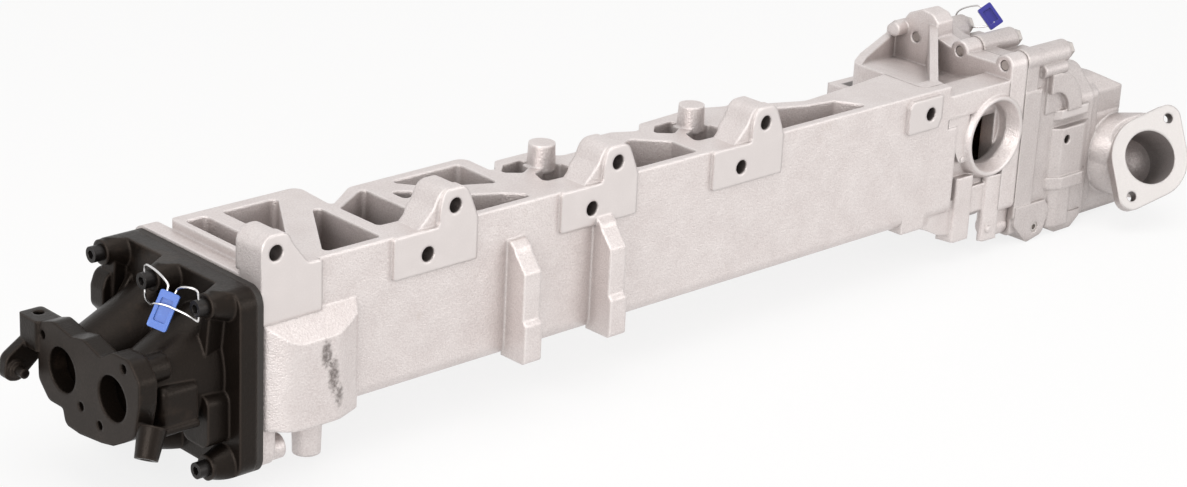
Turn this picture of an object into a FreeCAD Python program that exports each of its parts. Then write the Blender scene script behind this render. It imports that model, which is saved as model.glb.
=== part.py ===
"""Exhaust gas recirculation cooler: cast housing, gas core, inlet manifold and outlet castings.

Frame: +X runs along the cooler from inlet to outlet, +Y goes into the depth, +Z is up.
The functions below measure X from the first upper mounting hole. The finished parts are moved so
that the origin lies halfway along the row of upper holes, on the plane of the machined pads.
All sizes are millimetres.
"""
import FreeCAD
import Part
import math
import os

# Mounting face: ears, holes and pads
ear_pitch = 155.0
ear_count = 4
mount_hole_r = 5.8
ear_r = 13.0
ear_depth = 29.0
low_hole_dx = -24.0
low_hole_z = -30.9
pad_left = 54.0
pad_right = 21.0
pad_bottom_z = -44.5
pad_proud = 3.0
end_pad_x = 661.2
end_pad_left = 26.0
end_pad_right = 14.0

# Housing: the long casting round the core
housing_x0 = -11.5
housing_x1 = 784.0
wall_top_z = -13.0
wall_bottom_z = -128.0
wall_t = 7.0
body_depth = 123.0
roof_z = -50.0
floor_round_r = 10.0
rib_t = 10.0
pocket_r = 4.0
front_lip = 6.5

# Rear header: its left end wall, its sloping roof and the rim in front of the roof
dome_x0 = 664.0
dome_top_z = -12.5
roof_foot_z = -34.0
ring_rim_z = -22.0
gusset_t = 7.0

# Inlet flange and its screws
flange_y0 = -2.0
flange_y1 = 148.0
flange_z0 = -158.0
flange_z1 = -22.0
flange_corner_r = 13.0
flange_t = 13.0
inlet_screw_y = (16.0, 77.0, 137.0)
inlet_screw_z = (-32.0, -149.0)
inlet_gasket_t = 1.0
header_t = 3.0

# Inlet manifold
manifold_flange_t = 14.0
port_face_x = -100.0
port_flange_t = 14.0
port_y = (44.5, 104.0)
port_z = -94.0
port_r = 16.3
port_bore_len = 14.0
duct_wall = 6.0
duct_half_y = 25.0
duct_half_z = 32.0
port_stud_r = 3.4
port_stud_depth = 12.0
screw_tower_x = -46.0
screw_tower_r = 9.0
tower_foot_r = 14.0
inlet_head_r = 5.8
inlet_head_h = 8.0

# Gas core
tube_rows = 6
tube_stacks = 2
tube_side_gap = 2.5
stack_gap = 8.0
tube_h = 6.0
tube_wall = 0.8
tube_pitch_z = 10.5
tube_end_x = 668.0
baffle_t = 2.0
baffle_count = 3

# Rear header, gas collector and bellows
collector_len = 44.0
collector_wall = 2.0
gas_pipe_r = 21.0
bellows_r = 26.0
bellows_waves = 3
bellows_pitch = 9.0
bellows_wall = 1.2
gas_axis_y = 62.0
gas_axis_z = -89.0

# Coolant port ring on the mounting face
ring_x = 749.0
ring_z = -67.3
ring_r = 34.0
ring_root_r = 40.0
ring_mouth_r = 31.5
ring_bore_r = 26.5
ring_cone_depth = 12.0
header_face_y = 10.0

# Outlet joint: flange of the housing and its screws
joint_flange_t = 20.0
joint_y0 = 2.0
joint_y1 = 142.0
joint_z0 = -140.0
joint_lobe_z1 = -11.0
joint_screw_y = (11.0, 60.0, 109.0)
joint_low_y = (16.0, 60.0, 109.0)
joint_top_z = -11.0
joint_low_z = -156.5
joint_lobe_r = 9.0
joint_gasket_t = 0.8
dowel_r = 4.0
dowel_len = 16.0

# Outlet housing
outlet_len = 99.4
outlet_front_y = 4.0

# End cover with its slanted two-bolt outlet
cover_gasket_t = 0.8
cover_len = 47.0
cover_foot_len = 66.0
cover_foot_z = -174.0
cover_screw_y = (20.0, 100.0)
cover_screw_z = (-84.0, -154.0)
outlet_bore_r = 23.5
outlet_neck_wall = 8.0
outlet_center = FreeCAD.Vector(925.0, -33.0, -112.0)
outlet_turn_deg = 28.0
outlet_tilt_deg = 26.0
outlet_flange_t = 11.0
outlet_bolt_u = 20.5
outlet_bolt_v = 33.5
outlet_bolt_r = 4.4
outlet_lobe_r = 12.0

# Locking wires and their tags
wire_r = 0.8
tag_turn_deg = 44.0
tag_tilt_deg = 22.0
inlet_tag_center = FreeCAD.Vector(-66.0, 34.0, -36.0)
inlet_tag_lean = 20.0
inlet_tag_size = (13.5, 26.0, 4.0)
outlet_tag_center = FreeCAD.Vector(833.0, 85.5, 2.0)
outlet_tag_lean = -38.0
outlet_tag_size = (13.0, 21.0, 4.5)

# Screws, clearance holes and places worked out from the sizes above
screw_r = 4.0
clear_r = 4.5
screw_collar_r = 8.5
screw_head_h = 8.0
screw_across_flats = 13.0
slide_gap = 0.3
tunnel_y0 = pad_proud + wall_t
tunnel_y1 = pad_proud + body_depth - wall_t
tunnel_z0 = wall_bottom_z + wall_t
tunnel_z1 = roof_z - 4.0
core_mid_y = (tunnel_y0 + tunnel_y1) / 2.0
core_mid_z = (tunnel_z0 + tunnel_z1) / 2.0
tunnel_w = tunnel_y1 - tunnel_y0
tube_w = (tunnel_w - 2.0 * tube_side_gap - (tube_stacks - 1) * stack_gap) / tube_stacks
tube_pitch_y = tube_w + stack_gap
coolant_gasket_x = housing_x0 - inlet_gasket_t
front_header_x = coolant_gasket_x - header_t
manifold_face_x = front_header_x - inlet_gasket_t
inlet_screw_tip_x = housing_x0 + 20.0
outlet_x0 = housing_x1 + joint_gasket_t
outlet_x1 = outlet_x0 + outlet_len
cover_x0 = outlet_x1 + cover_gasket_t
outlet_flange_len = 16.0
outlet_ridge_len = (56.0, 46.0, 40.0)
low_screw_r = 3.0
low_clear_r = 3.4
low_head_r = 5.0
low_head_h = 6.0
low_thread_len = 13.0
hood_len = 50.0
bellows_plate_x = outlet_x0
bellows_plate_t = 2.5
header_x0 = 684.0
header_y0 = header_face_y + wall_t + 3.0
header_y1 = 120.0
header_z0 = -124.0
header_z1 = roof_z + 2.0
joint_face_x = housing_x1 - joint_flange_t
well_x1 = joint_face_x + 6.0
joint_open_y0 = header_y0 + 14.0
plate_y0 = header_y0 - 6.0
plate_y1 = header_y1 + 6.0
plate_z0 = header_z0 - 8.0
plate_z1 = header_z1 + 8.0
seal_r0 = 24.0
seal_r1 = 28.0
seal_depth = 2.5
outlet_dowel_r = 4.0
cavity_y0 = 31.0
cavity_y1 = 88.0
cavity_z0 = -144.0
cavity_z1 = -82.0
cover_seat_x = cover_x0 + 9.0
outlet_belly_z = -150.0
outlet_foot_z = -175.0
outlet_ridge_r = 10.0
shoulder_x = 822.0
shoulder_y = -2.5
shoulder_z = -62.0
shoulder_r0 = 20.0
shoulder_r1 = 37.0
column_x = 843.0
column_z = -87.5
column_face_y = -3.0
column_hole_y1 = 12.0
outlet_mid_r = 36.0
outlet_knee = 35.0
elbow_end_y = 52.0
elbow_end_z = -116.0
column_hole_r = 4.0
plug_r = 4.6
plug_x = 815.0
plug_z = -163.0
plug_len = 13.0
wire_hole_r = 1.1
inlet_wire_x = screw_tower_x - 5.0
inlet_wire_z = inlet_screw_z[0]
outlet_wire_x = outlet_x0 + outlet_ridge_len[-1] + 5.0
duct_spread = 0.92
block_hole_x = port_face_x + 9.0
block_hole_y = 145.0
block_hole_r = 4.0
block_hole_len = 18.0
block_top_z = -68.0
drain_boss_len = 22.0
drain_boss_end = FreeCAD.Vector(-99.0, 8.0, -125.0)
drain_boss_way = FreeCAD.Vector(-0.45, -0.3, -0.84)


def vec(x, y, z):
    """Return a point."""
    return FreeCAD.Vector(x, y, z)


def box(x0, x1, y0, y1, z0, z1):
    """Return a block between two corners."""
    return Part.makeBox(x1 - x0, y1 - y0, z1 - z0, vec(x0, y0, z0))


def rod(start, end, radius):
    """Return a round bar from one point to another."""
    axis = end - start
    return Part.makeCylinder(radius, axis.Length, start, axis)


def cone(start, end, r0, r1):
    """Return a tapered round bar."""
    axis = end - start
    return Part.makeCone(r0, r1, axis.Length, start, axis)


def rounded_edges(points, radii):
    """Return the edges of a closed flat outline whose corners are rounded."""
    count = len(points)
    if not isinstance(radii, (list, tuple)):
        radii = [radii] * count
    starts = []
    ends = []
    mids = []
    for i in range(count):
        here = points[i]
        back = points[i - 1] - here
        ahead = points[(i + 1) % count] - here
        half = back.getAngle(ahead) / 2.0
        reach = radii[i] / math.tan(half) if radii[i] > 0 else 0.0
        reach = min(reach, 0.48 * back.Length, 0.48 * ahead.Length)
        radius = reach * math.tan(half)
        back.normalize()
        ahead.normalize()
        starts.append(here + back * reach)
        ends.append(here + ahead * reach)
        bisector = back + ahead
        if radius > 0.01 and bisector.Length > 1e-6:
            bisector.normalize()
            center = here + bisector * (radius / math.sin(half))
            mids.append(center - bisector * radius)
        else:
            mids.append(None)
    edges = []
    for i in range(count):
        if mids[i] is not None:
            edges.append(Part.Arc(starts[i], mids[i], ends[i]).toShape())
        following = starts[(i + 1) % count]
        if ends[i].distanceToPoint(following) > 1e-4:
            edges.append(Part.LineSegment(ends[i], following).toShape())
    return edges


def plate(points, radii, direction):
    """Return a plate: a closed outline with rounded corners, extruded."""
    wire = Part.Wire(rounded_edges(points, radii))
    return Part.Face(wire).extrude(direction)


def plan(points, z0, z1, radii=0.0):
    """Return a plate from an outline of (x, y) pairs."""
    return plate([vec(x, y, z0) for x, y in points], radii, vec(0, 0, z1 - z0))


def side(points, y0, y1, radii=0.0):
    """Return a plate from an outline of (x, z) pairs."""
    return plate([vec(x, y0, z) for x, z in points], radii, vec(0, y1 - y0, 0))


def section(points, x0, x1, radii=0.0):
    """Return a bar from an outline of (y, z) pairs."""
    return plate([vec(x0, y, z) for y, z in points], radii, vec(x1 - x0, 0, 0))


def rectangle(y0, y1, z0, z1):
    """Return the four corners of a rectangle."""
    return [(y0, z0), (y1, z0), (y1, z1), (y0, z1)]


def joined(shapes):
    """Return one solid made of several that touch or overlap."""
    body = shapes[0].fuse(shapes[1:]) if len(shapes) > 1 else shapes[0]
    return body.removeSplitter()


def group(shapes):
    """Return separate solids kept together as one node."""
    return Part.makeCompound(shapes)


def rounded(shape, radius, wanted):
    """Return the shape with the edges that pass a test rounded."""
    edges = [edge for edge in shape.Edges if wanted(edge)]
    return shape.makeFillet(radius, edges) if edges else shape


def ear_x(index):
    """Return the place of an ear along the cooler."""
    return ear_pitch * index


def ear_outline(x, left_edge):
    """Return the front outline of one pad with its ear, as plain (x, z) corners."""
    foot = wall_top_z
    return [
        (x - left_edge, pad_bottom_z), (x + pad_right, pad_bottom_z), (x + pad_right, foot),
        (x + ear_r + 1.0, 4.0), (x + ear_r - 3.5, ear_r), (x - ear_r + 3.0, ear_r),
        (x - ear_r, 0.0), (x - ear_r - 1.0, foot), (x - left_edge, foot),
    ]


def mounting_ear(index):
    """Return one machined pad with its ear and the barrel behind the ear."""
    x = ear_x(index)
    left_edge = pad_left if index else -housing_x0 + 1.0
    if index:
        points = ear_outline(x, left_edge)
        radii = [2.0, 2.0, 1.5, 12.0, 12.0, 12.0, 8.0, 3.0, 3.0]
    else:
        points = [(housing_x0, roof_z), (x + 39.0, roof_z), (x + 39.0, wall_top_z), (x + 27.0, wall_top_z),
                  (x + ear_r + 1.0, 4.0), (x + ear_r - 3.5, ear_r), (housing_x0, ear_r)]
        radii = [0.0, 1.5, 3.0, 8.0, 10.0, 12.0, 12.0]
    pad = side(points, 0.0, pad_proud + wall_t, radii)
    barrel_points = [
        (x - ear_r - 17.0, wall_top_z - 4.0), (x + ear_r, wall_top_z - 4.0), (x + ear_r, ear_r),
        (x - ear_r + 2.0, ear_r), (x - ear_r - 4.0, 0.0), (x - ear_r - 17.0, wall_top_z),
    ]
    if not index:
        barrel_points = [
            (housing_x0, wall_top_z - 4.0), (x + ear_r, wall_top_z - 4.0), (x + ear_r, ear_r),
            (housing_x0, ear_r), (housing_x0, wall_top_z),
        ]
        barrel = side(barrel_points, pad_proud, ear_depth, [0.0, 0.0, 11.0, 11.0, 0.0])
    else:
        barrel = side(barrel_points, pad_proud, ear_depth, [0.0, 0.0, 11.0, 11.0, 9.0, 0.0])
    return [pad, barrel]


def mounting_holes():
    """Return the cutters of every hole in the mounting face."""
    holes = []
    for index in range(ear_count):
        holes.append((ear_x(index), 0.0))
    for index in range(1, ear_count):
        holes.append((ear_x(index) + low_hole_dx, low_hole_z))
    holes.append((end_pad_x, low_hole_z))
    return [rod(vec(x, -1.0, z), vec(x, ear_depth + 1.0, z), mount_hole_r) for x, z in holes]


def housing_body():
    """Return the long outer form of the housing, solid."""
    back_y = pad_proud + body_depth
    tunnel = section(
        rectangle(pad_proud, back_y, wall_bottom_z, roof_z),
        housing_x0, 700.0, [floor_round_r, floor_round_r, 8.0, 0.0])
    front_top = box(housing_x0, 688.0, pad_proud, pad_proud + 22.0, roof_z - 10.0, wall_top_z)
    ring_top = box(680.0, joint_face_x + 1.0, pad_proud, pad_proud + 22.0, roof_z + 8.0, ring_rim_z)
    top = plan(
        [(1.0, 20.0), (525.0, 20.0), (528.0, 58.0), (523.0, 82.0), (497.0, 74.0), (470.0, 86.0),
         (410.0, 82.0), (398.0, 70.0), (378.0, 80.0), (360.0, 80.0), (344.0, 62.0), (310.0, 62.0),
         (296.0, 82.0), (262.0, 82.0), (246.0, 62.0), (248.0, 101.0), (140.0, 100.0), (107.0, 77.0),
         (111.0, 122.0), (1.0, 122.0)],
        roof_z - 5.0, wall_top_z,
        [0.0, 0.0, 8.0, 6.0, 12.0, 12.0, 8.0, 6.0, 8.0, 8.0, 10.0, 10.0, 8.0, 8.0, 3.0, 8.0, 12.0, 3.0,
         8.0, 4.0])
    long_deck = plan(
        [(500.0, 4.0), (dome_x0 + 4.0, 4.0), (dome_x0 + 4.0, 58.0), (620.0, 52.0), (560.0, 47.0),
         (526.0, 62.0),
         (500.0, 62.0)],
        roof_z - 5.0, wall_top_z, [0.0, 0.0, 0.0, 20.0, 20.0, 4.0, 0.0])
    return [tunnel, front_top, ring_top, top, long_deck]


def housing_inlet_flange():
    """Return the end flange that the inlet manifold is screwed to, with its screw bosses."""
    x1 = housing_x0 + flange_t
    plate_body = section(
        rectangle(flange_y0 + 4.0, flange_y1, flange_z0, -20.0), housing_x0, x1, flange_corner_r)
    bosses = [
        rod(vec(housing_x0, y, inlet_screw_z[1]), vec(housing_x0 + 26.0, y, inlet_screw_z[1]), 9.0)
        for y in inlet_screw_y
    ]
    return [plate_body] + bosses


def left_bulge():
    """Return the half barrel on the front wall beside the inlet, with its sloping top."""
    x0 = -10.0
    x1 = 70.0
    proud = 14.0
    barrel = plan(
        [(x0, pad_proud + 3.0), (x0, pad_proud - 1.0), (x0 + 16.0, -proud), (x1 - 26.0, -proud),
         (x1 - 3.0, -5.0), (x1, pad_proud), (x1, pad_proud + 3.0)],
        wall_bottom_z + 1.0, roof_z + 4.0, [0.0, 4.0, 24.0, 24.0, 12.0, 4.0, 0.0])
    slope = section(
        [(pad_proud + 1.0, roof_z + 2.0), (-40.0, roof_z - 37.0), (-40.0, roof_z + 20.0),
         (pad_proud + 1.0, roof_z + 20.0)],
        x0 - 5.0, x1 + 5.0)
    return barrel.cut(slope)


def front_fin(x0):
    """Return one upright fin on the front wall with its stepped, sloping top."""
    width = 15.5
    proud = 17.0
    top = -38.0
    profile = [
        (pad_proud + 3.0, top), (pad_proud - 3.0, top - 1.0), (pad_proud - 8.0, top - 5.0),
        (pad_proud - 9.0, top - 8.0), (-proud, top - 21.0), (-proud, -95.0), (-proud - 3.0, -98.0),
        (-proud - 3.0, wall_bottom_z), (pad_proud + 3.0, wall_bottom_z),
    ]
    return section(profile, x0, x0 + width, [0.0, 2.0, 2.0, 1.0, 2.0, 0.0, 1.0, 3.0, 0.0])


def top_pockets():
    """Return the cutters of the deep pockets between the ribs on top of the housing."""
    floor = roof_z + 3.0
    top = wall_top_z + 30.0
    lip = pad_proud + front_lip
    outlines = [
        [(6.0, 34.0), (24.0, 34.0), (24.0, 112.0), (6.0, 112.0)],
        [(37.0, 36.0), (86.0, 112.0), (37.0, 112.0)],
        [(46.0, lip), (97.0, lip), (97.0, 88.0)],
        [(108.0, 27.0), (130.0, 26.0), (146.0, 38.0), (146.0, 91.0), (138.0, 88.0), (108.0, 70.0)],
        [(157.0, 56.0), (176.0, 64.0), (157.0, 78.0)],
        [(168.0, 92.0), (186.0, 70.0), (206.0, 58.0), (234.0, 44.0), (236.0, 92.0)],
        [(180.0, lip), (240.0, lip), (222.0, 27.0), (200.0, 38.0), (186.0, 36.0)],
    ]
    for shift in (0.0, ear_pitch):
        outlines.append([(249.0 + shift, 60.0), (262.0 + shift, 50.0), (280.0 + shift, 60.0),
                         (282.0 + shift, 72.0), (262.0 + shift, 72.0)])
        outlines.append([(262.0 + shift, 27.0), (284.0 + shift, 26.0), (300.0 + shift, 38.0),
                         (298.0 + shift, 52.0), (284.0 + shift, 50.0), (268.0 + shift, 44.0)])
    outlines.append([(338.0, lip), (402.0, lip), (402.0, 38.0), (380.0, 60.0), (356.0, 52.0), (340.0, 36.0)])
    outlines.append([(492.0, lip), (594.0, lip), (580.0, 34.0), (552.0, 39.0), (518.0, 52.0), (492.0, 42.0)])
    return [plan(points, floor, top, pocket_r) for points in outlines]


def top_posts():
    """Return the round posts that stand on the top of the housing."""
    posts = []
    for index in (2, 3):
        x = ear_x(index) + low_hole_dx
        posts.append(cone(vec(x, 57.0, wall_top_z - 4.0), vec(x, 57.0, 4.0), 11.0, 10.0))
        posts.append(box(x - 12.0, x + 12.0, 50.0, 64.0, roof_z, wall_top_z))
    return posts


def rear_header():
    """Return the wide rear end of the housing round the gas collector, solid."""
    x1 = joint_face_x + 1.0
    core_end = section(
        rectangle(header_face_y, header_y1 + wall_t + 1.0, header_z0 - wall_t - 1.0, header_z1 + wall_t),
        header_x0 - wall_t, x1,
        [12.0, 12.0, 0.0, 0.0])
    step = plan(
        [(640.0, 30.0), (640.0, pad_proud), (667.0, pad_proud), (684.0, header_face_y), (x1, header_face_y),
         (x1, 30.0)], -132.0, ring_rim_z, [0.0, 0.0, 2.0, 3.0, 0.0, 0.0])
    dome = plan(
        [(dome_x0, 12.0), (x1, 12.0), (x1, joint_y1 - 2.0), (692.0, 108.0), (dome_x0 + 4.0, 94.0)],
        roof_z - 5.0, dome_top_z, [6.0, 0.0, 0.0, 16.0, 12.0])
    flare = side(
        [(655.0, -118.0), (655.0, -130.0), (678.0, -138.0), (692.0, -145.0), (731.0, -155.0),
         (732.0, -118.0)],
        8.0, 30.0, [0.0, 0.0, 8.0, 12.0, 2.0, 0.0])
    column = plan(
        [(706.0, 20.0), (709.0, 4.0), (730.0, 4.0), (732.0, 20.0)], -155.0, -98.0, [0.0, 3.0, 3.0, 0.0])
    bridge = box(730.0, 750.0, 7.0, 20.0, -134.0, -110.0)
    corner = plan(
        [(747.0, 9.0), (748.5, 4.0), (x1, 3.0), (x1, 9.0)], joint_low_z - 6.0, -104.0, [0.0, 2.0, 0.0, 0.0])
    pin = rod(vec(754.0, 1.5, -152.0), vec(754.0, 6.0, -152.0), 3.0)
    small_boss = rod(vec(752.0, 124.0, -6.0), vec(x1, 124.0, -6.0), 6.0)
    return [core_end, step, dome.cut(dome_hollows()), gusset(), flare, column, bridge, corner, pin,
            small_boss]


def dome_hollows():
    """Return the cutters that slope the header roof down to the joint flange on both sides of the gusset."""
    x1 = joint_face_x + 2.0
    high = 60.0
    slope = side([(dome_x0 + 3.0, dome_top_z), (x1, roof_foot_z), (x1, high), (dome_x0 + 3.0, high)], 0.0,
                 160.0)
    left = plan([(dome_x0 + 3.0, 20.0), (690.0, 22.0), (x1, 92.0), (x1, 133.0), (690.0, 98.0),
                 (dome_x0 + 3.0, 84.0)],
                -60.0, high, [2.0, 0.0, 0.0, 0.0, 14.0, 10.0])
    fall = section([(-5.0, ring_rim_z), (header_face_y + 2.0, ring_rim_z), (62.0, roof_foot_z),
                    (110.0, roof_foot_z),
                    (110.0, high), (-5.0, high)], 680.0, x1)
    right = plan([(684.0, -5.0), (x1, -5.0), (x1, 96.0), (690.0, 24.0)], -60.0, high)
    return [slope.common(left), fall.common(right)]


def gusset():
    """Return the diagonal gusset that climbs over the header roof to the joint flange."""
    front = vec(684.0, 19.0, 0.0)
    back = vec(joint_face_x + 4.0, 94.0, 0.0)
    across = vec(0, 0, 1).cross(back - front)
    across.normalize()
    start = front - across * (gusset_t / 2.0)
    end = back - across * (gusset_t / 2.0)
    corners = [start + vec(0, 0, roof_z), end + vec(0, 0, roof_z), end + vec(0, 0, 5.0),
               start + vec(0, 0, wall_top_z)]
    return plate(corners, 0.0, across * gusset_t)


def joint_flange(x0, x1, high):
    """Return the flange outline of the outlet joint between two planes; the housing side stands higher."""
    low_edge = [(joint_y0, joint_lobe_z1), (joint_y0, joint_z0), (joint_y1, joint_z0)]
    if high:
        top_edge = [(joint_y1, -9.0), (134.0, -2.0), (126.0, -2.0), (118.0, 9.0), (104.0, 15.0),
                    (92.0, 12.5),
                    (86.0, 7.0), (85.0, -6.0), (66.0, joint_lobe_z1)]
        radii = [2.0, 6.0, 8.0, 5.0, 3.0, 3.0, 6.0, 6.0, 5.0, 3.0, 2.0, 3.0]
    else:
        top_edge = [(joint_y1, -22.0), (134.0, -9.0), (122.0, -3.0), (98.0, -3.0), (85.0, -8.0),
                    (66.0, joint_lobe_z1)]
        radii = [2.0, 6.0, 8.0, 6.0, 6.0, 6.0, 6.0, 3.0, 3.0]
    pieces = [section(low_edge + top_edge, x0, x1, radii)]
    for y, z in joint_top_places() + joint_low_places():
        pieces.append(rod(vec(x0, y, z), vec(x1, y, z), joint_lobe_r))
        reach = joint_lobe_r - 1.0
        pieces.append(box(x0, x1, max(y - reach, joint_y0 + 0.5), y + reach, min(z, joint_z0 + 10.0),
                          max(z, joint_z0 + 12.0)))
    return joined(pieces)


def joint_top_places():
    """Return the (y, z) place of each long screw along the top of the outlet joint."""
    return [(y, joint_top_z) for y in joint_screw_y]


def joint_low_places():
    """Return the (y, z) place of each short screw along the foot of the outlet joint."""
    return [(y, joint_low_z) for y in joint_low_y]


def coolant_ring():
    """Return the raised lip of the coolant port."""
    lip = cone(vec(ring_x, header_face_y + 2.0, ring_z), vec(ring_x, 0.0, ring_z), ring_root_r, ring_r)
    return lip.common(box(ring_x - 60.0, housing_x1, -1.0, header_face_y + 2.0, ring_z - 60.0,
                          ring_z + 60.0))


def coolant_ring_cutters():
    """Return the cutters that open the coolant port into the rear header."""
    mouth = cone(vec(ring_x, -0.01, ring_z), vec(ring_x, ring_cone_depth, ring_z), ring_mouth_r, ring_bore_r)
    bore = rod(vec(ring_x, 0.0, ring_z), vec(ring_x, header_y0 + 0.01, ring_z), ring_bore_r)
    return [mouth, bore]


def wedge_lug():
    """Return the wedge-shaped lug beside the coolant port with its two small pins."""
    lug = side([(690.0, -38.0), (716.0, -36.0), (716.0, -84.0), (708.0, -84.0), (690.0, -54.0)],
               4.0, header_face_y + 4.0, [2.0, 0.0, 0.0, 3.0, 2.0])
    upper_pin = rod(vec(685.0, 8.0, -51.0), vec(700.0, 8.0, -51.0), 3.0)
    lower_pin = rod(vec(711.0, 3.0, -81.0), vec(711.0, 14.0, -81.0), 2.6)
    return [lug, upper_pin, lower_pin]


def housing_cavity():
    """Return the cutter of everything hollow inside the housing."""
    tunnel = core_opening(housing_x0 - 1.0, 705.0)
    header = section(rectangle(header_y0, header_y1, header_z0, header_z1), header_x0, well_x1, 8.0)
    mouth = section(rectangle(joint_open_y0, header_y1, header_z0, header_z1), well_x1 - 1.0,
                    housing_x1 + 1.0, 8.0)
    return [tunnel, header, mouth]


def cooler_housing():
    """Return the long casting with its ears, ribs, posts, fins, ring and both joint flanges."""
    pieces = housing_body() + housing_inlet_flange()
    for index in range(ear_count):
        pieces += mounting_ear(index)
    pieces.append(side(
        [(end_pad_x - end_pad_left, pad_bottom_z), (end_pad_x + 10.0, pad_bottom_z),
         (end_pad_x + end_pad_right, pad_bottom_z + 8.0), (end_pad_x + end_pad_right, -17.0),
         (end_pad_x - end_pad_left + 4.0, -17.0), (end_pad_x - end_pad_left, -21.0)],
        0.0, pad_proud + wall_t, 1.5))
    pieces.append(left_bulge())
    pieces.append(front_fin(207.0))
    pieces.append(front_fin(290.5))
    pieces += rear_header()
    pieces.append(joint_flange(joint_face_x, housing_x1, True))
    pieces.append(coolant_ring())
    pieces += wedge_lug()
    pieces.append(cone(vec(46.0, 25.0, -166.0), vec(46.0, 25.0, wall_bottom_z + 4.0), 10.0, 11.5))
    body = joined(pieces)
    cutters = top_pockets() + mounting_holes() + housing_cavity() + coolant_ring_cutters()
    for y in inlet_screw_y:
        for z in inlet_screw_z:
            cutters.append(rod(vec(housing_x0 - 1.0, y, z), vec(housing_x0 + 24.0, y, z), screw_r))
    for y, z in inlet_dowel_places():
        cutters.append(rod(vec(housing_x0 - 1.0, y, z), vec(housing_x0 + dowel_len / 2.0, y, z), dowel_r))
    for y, z in joint_top_places():
        cutters.append(rod(vec(joint_face_x - 6.0, y, z), vec(housing_x1 + 1.0, y, z), screw_r))
        cutters.append(rod(vec(joint_face_x - 6.0, y, z), vec(joint_face_x + 2.5, y, z), screw_r + 0.8))
    for y, z in joint_low_places():
        cutters.append(rod(vec(joint_face_x - 1.0, y, z), vec(housing_x1 + 1.0, y, z), low_clear_r))
        cutters.append(rod(vec(joint_face_x - 30.0, y, z), vec(joint_face_x + low_head_h, y, z),
                           low_head_r + 0.3))
    for y, z in outlet_dowel_places():
        cutters.append(rod(vec(housing_x1 - dowel_len / 2.0, y, z), vec(housing_x1 + 1.0, y, z),
                           outlet_dowel_r))
    body = body.cut(cutters)
    return joined([body] + top_posts())


def oval(x, y, z, half_y, half_z):
    """Return an upright oval outline across the cooler."""
    curve = Part.Ellipse(vec(x, y, z + half_z), vec(x, y + half_y, z), vec(x, y, z))
    return Part.Wire(curve.toShape())


def revolved(points, radii, center_y, center_z):
    """Return a solid turned about an axis along the cooler, from (x, radius) pairs."""
    corners = [vec(x, center_y, center_z + radius) for x, radius in points]
    face = Part.Face(Part.Wire(rounded_edges(corners, radii)))
    return face.revolve(vec(0, center_y, center_z), vec(1, 0, 0), 360)


def hexagon_bar(x0, x1, y, z, across_flats):
    """Return a hexagonal bar along the cooler."""
    reach = across_flats / math.sqrt(3.0)
    corners = [(y + reach * math.cos(math.radians(60.0 * k)), z + reach * math.sin(math.radians(60.0 * k)))
               for k in range(6)]
    return section(corners, x0, x1)


def flange_screw(seat_x, tip_x, y, z):
    """Return one hexagon screw with its collar; the seat is the plane under the collar."""
    way = 1.0 if tip_x > seat_x else -1.0
    collar = rod(vec(seat_x, y, z), vec(seat_x - way * 2.0, y, z), screw_collar_r)
    hexagon = hexagon_bar(min(seat_x - way * 1.0, seat_x - way * screw_head_h),
                          max(seat_x - way * 1.0, seat_x - way * screw_head_h), y, z, screw_across_flats)
    shank = rod(vec(seat_x, y, z), vec(tip_x, y, z), screw_r)
    return joined([collar, hexagon, shank])


def socket_screw(seat_x, tip_x, y, z, head_r, head_h, shank_r):
    """Return one round-headed screw with a hexagon socket; it points along the cooler."""
    head = rod(vec(seat_x - head_h, y, z), vec(seat_x, y, z), head_r)
    shank = rod(vec(seat_x, y, z), vec(tip_x, y, z), shank_r)
    socket = hexagon_bar(seat_x - head_h - 1.0, seat_x - head_h * 0.5, y, z, head_r)
    return joined([head, shank]).cut(socket)


def inlet_screw_places():
    """Return the (y, z) place of each screw of the inlet flange."""
    return [(y, z) for y in inlet_screw_y for z in inlet_screw_z]


def inlet_layer(x0, x1, opening):
    """Return one thin layer between manifold and housing, with its screw holes."""
    layer = section(rectangle(flange_y0, flange_y1, flange_z0, flange_z1), x0, x1, flange_corner_r)
    holes = [rod(vec(x0 - 1.0, y, z), vec(x1 + 1.0, y, z), clear_r) for y, z in inlet_screw_places()]
    holes += [rod(vec(x0 - 1.0, y, z), vec(x1 + 1.0, y, z), dowel_r) for y, z in inlet_dowel_places()]
    return layer.cut(holes + opening)


def inlet_dowel_places():
    """Return the (y, z) place of each dowel of the inlet flange."""
    return [((inlet_screw_y[0] + inlet_screw_y[1]) / 2.0, (tunnel_z1 + flange_z1) / 2.0),
            ((inlet_screw_y[1] + inlet_screw_y[2]) / 2.0, (tunnel_z0 + flange_z0) / 2.0)]


def core_opening(x0, x1, shrink=0.0):
    """Return a cutter with the outline of the tunnel that holds the gas core."""
    return section(
        rectangle(tunnel_y0 + shrink, tunnel_y1 - shrink, tunnel_z0 + shrink, tunnel_z1 - shrink), x0, x1,
        5.0)


def coolant_gasket():
    """Return the gasket between the housing and the front header plate."""
    return inlet_layer(coolant_gasket_x, housing_x0, [core_opening(coolant_gasket_x - 1.0,
                                                                   housing_x0 + 1.0)])


def inlet_gasket():
    """Return the gasket between the front header plate and the manifold."""
    opening = core_opening(manifold_face_x - 1.0, front_header_x + 1.0)
    return inlet_layer(manifold_face_x, front_header_x, [opening])


def tube_places():
    """Return the (y, z) centre of each flat tube."""
    places = []
    for stack in range(tube_stacks):
        y = core_mid_y + (stack - (tube_stacks - 1) / 2.0) * tube_pitch_y
        for row in range(tube_rows):
            z = core_mid_z + (row - (tube_rows - 1) / 2.0) * tube_pitch_z
            places.append((y, z))
    return places


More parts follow.
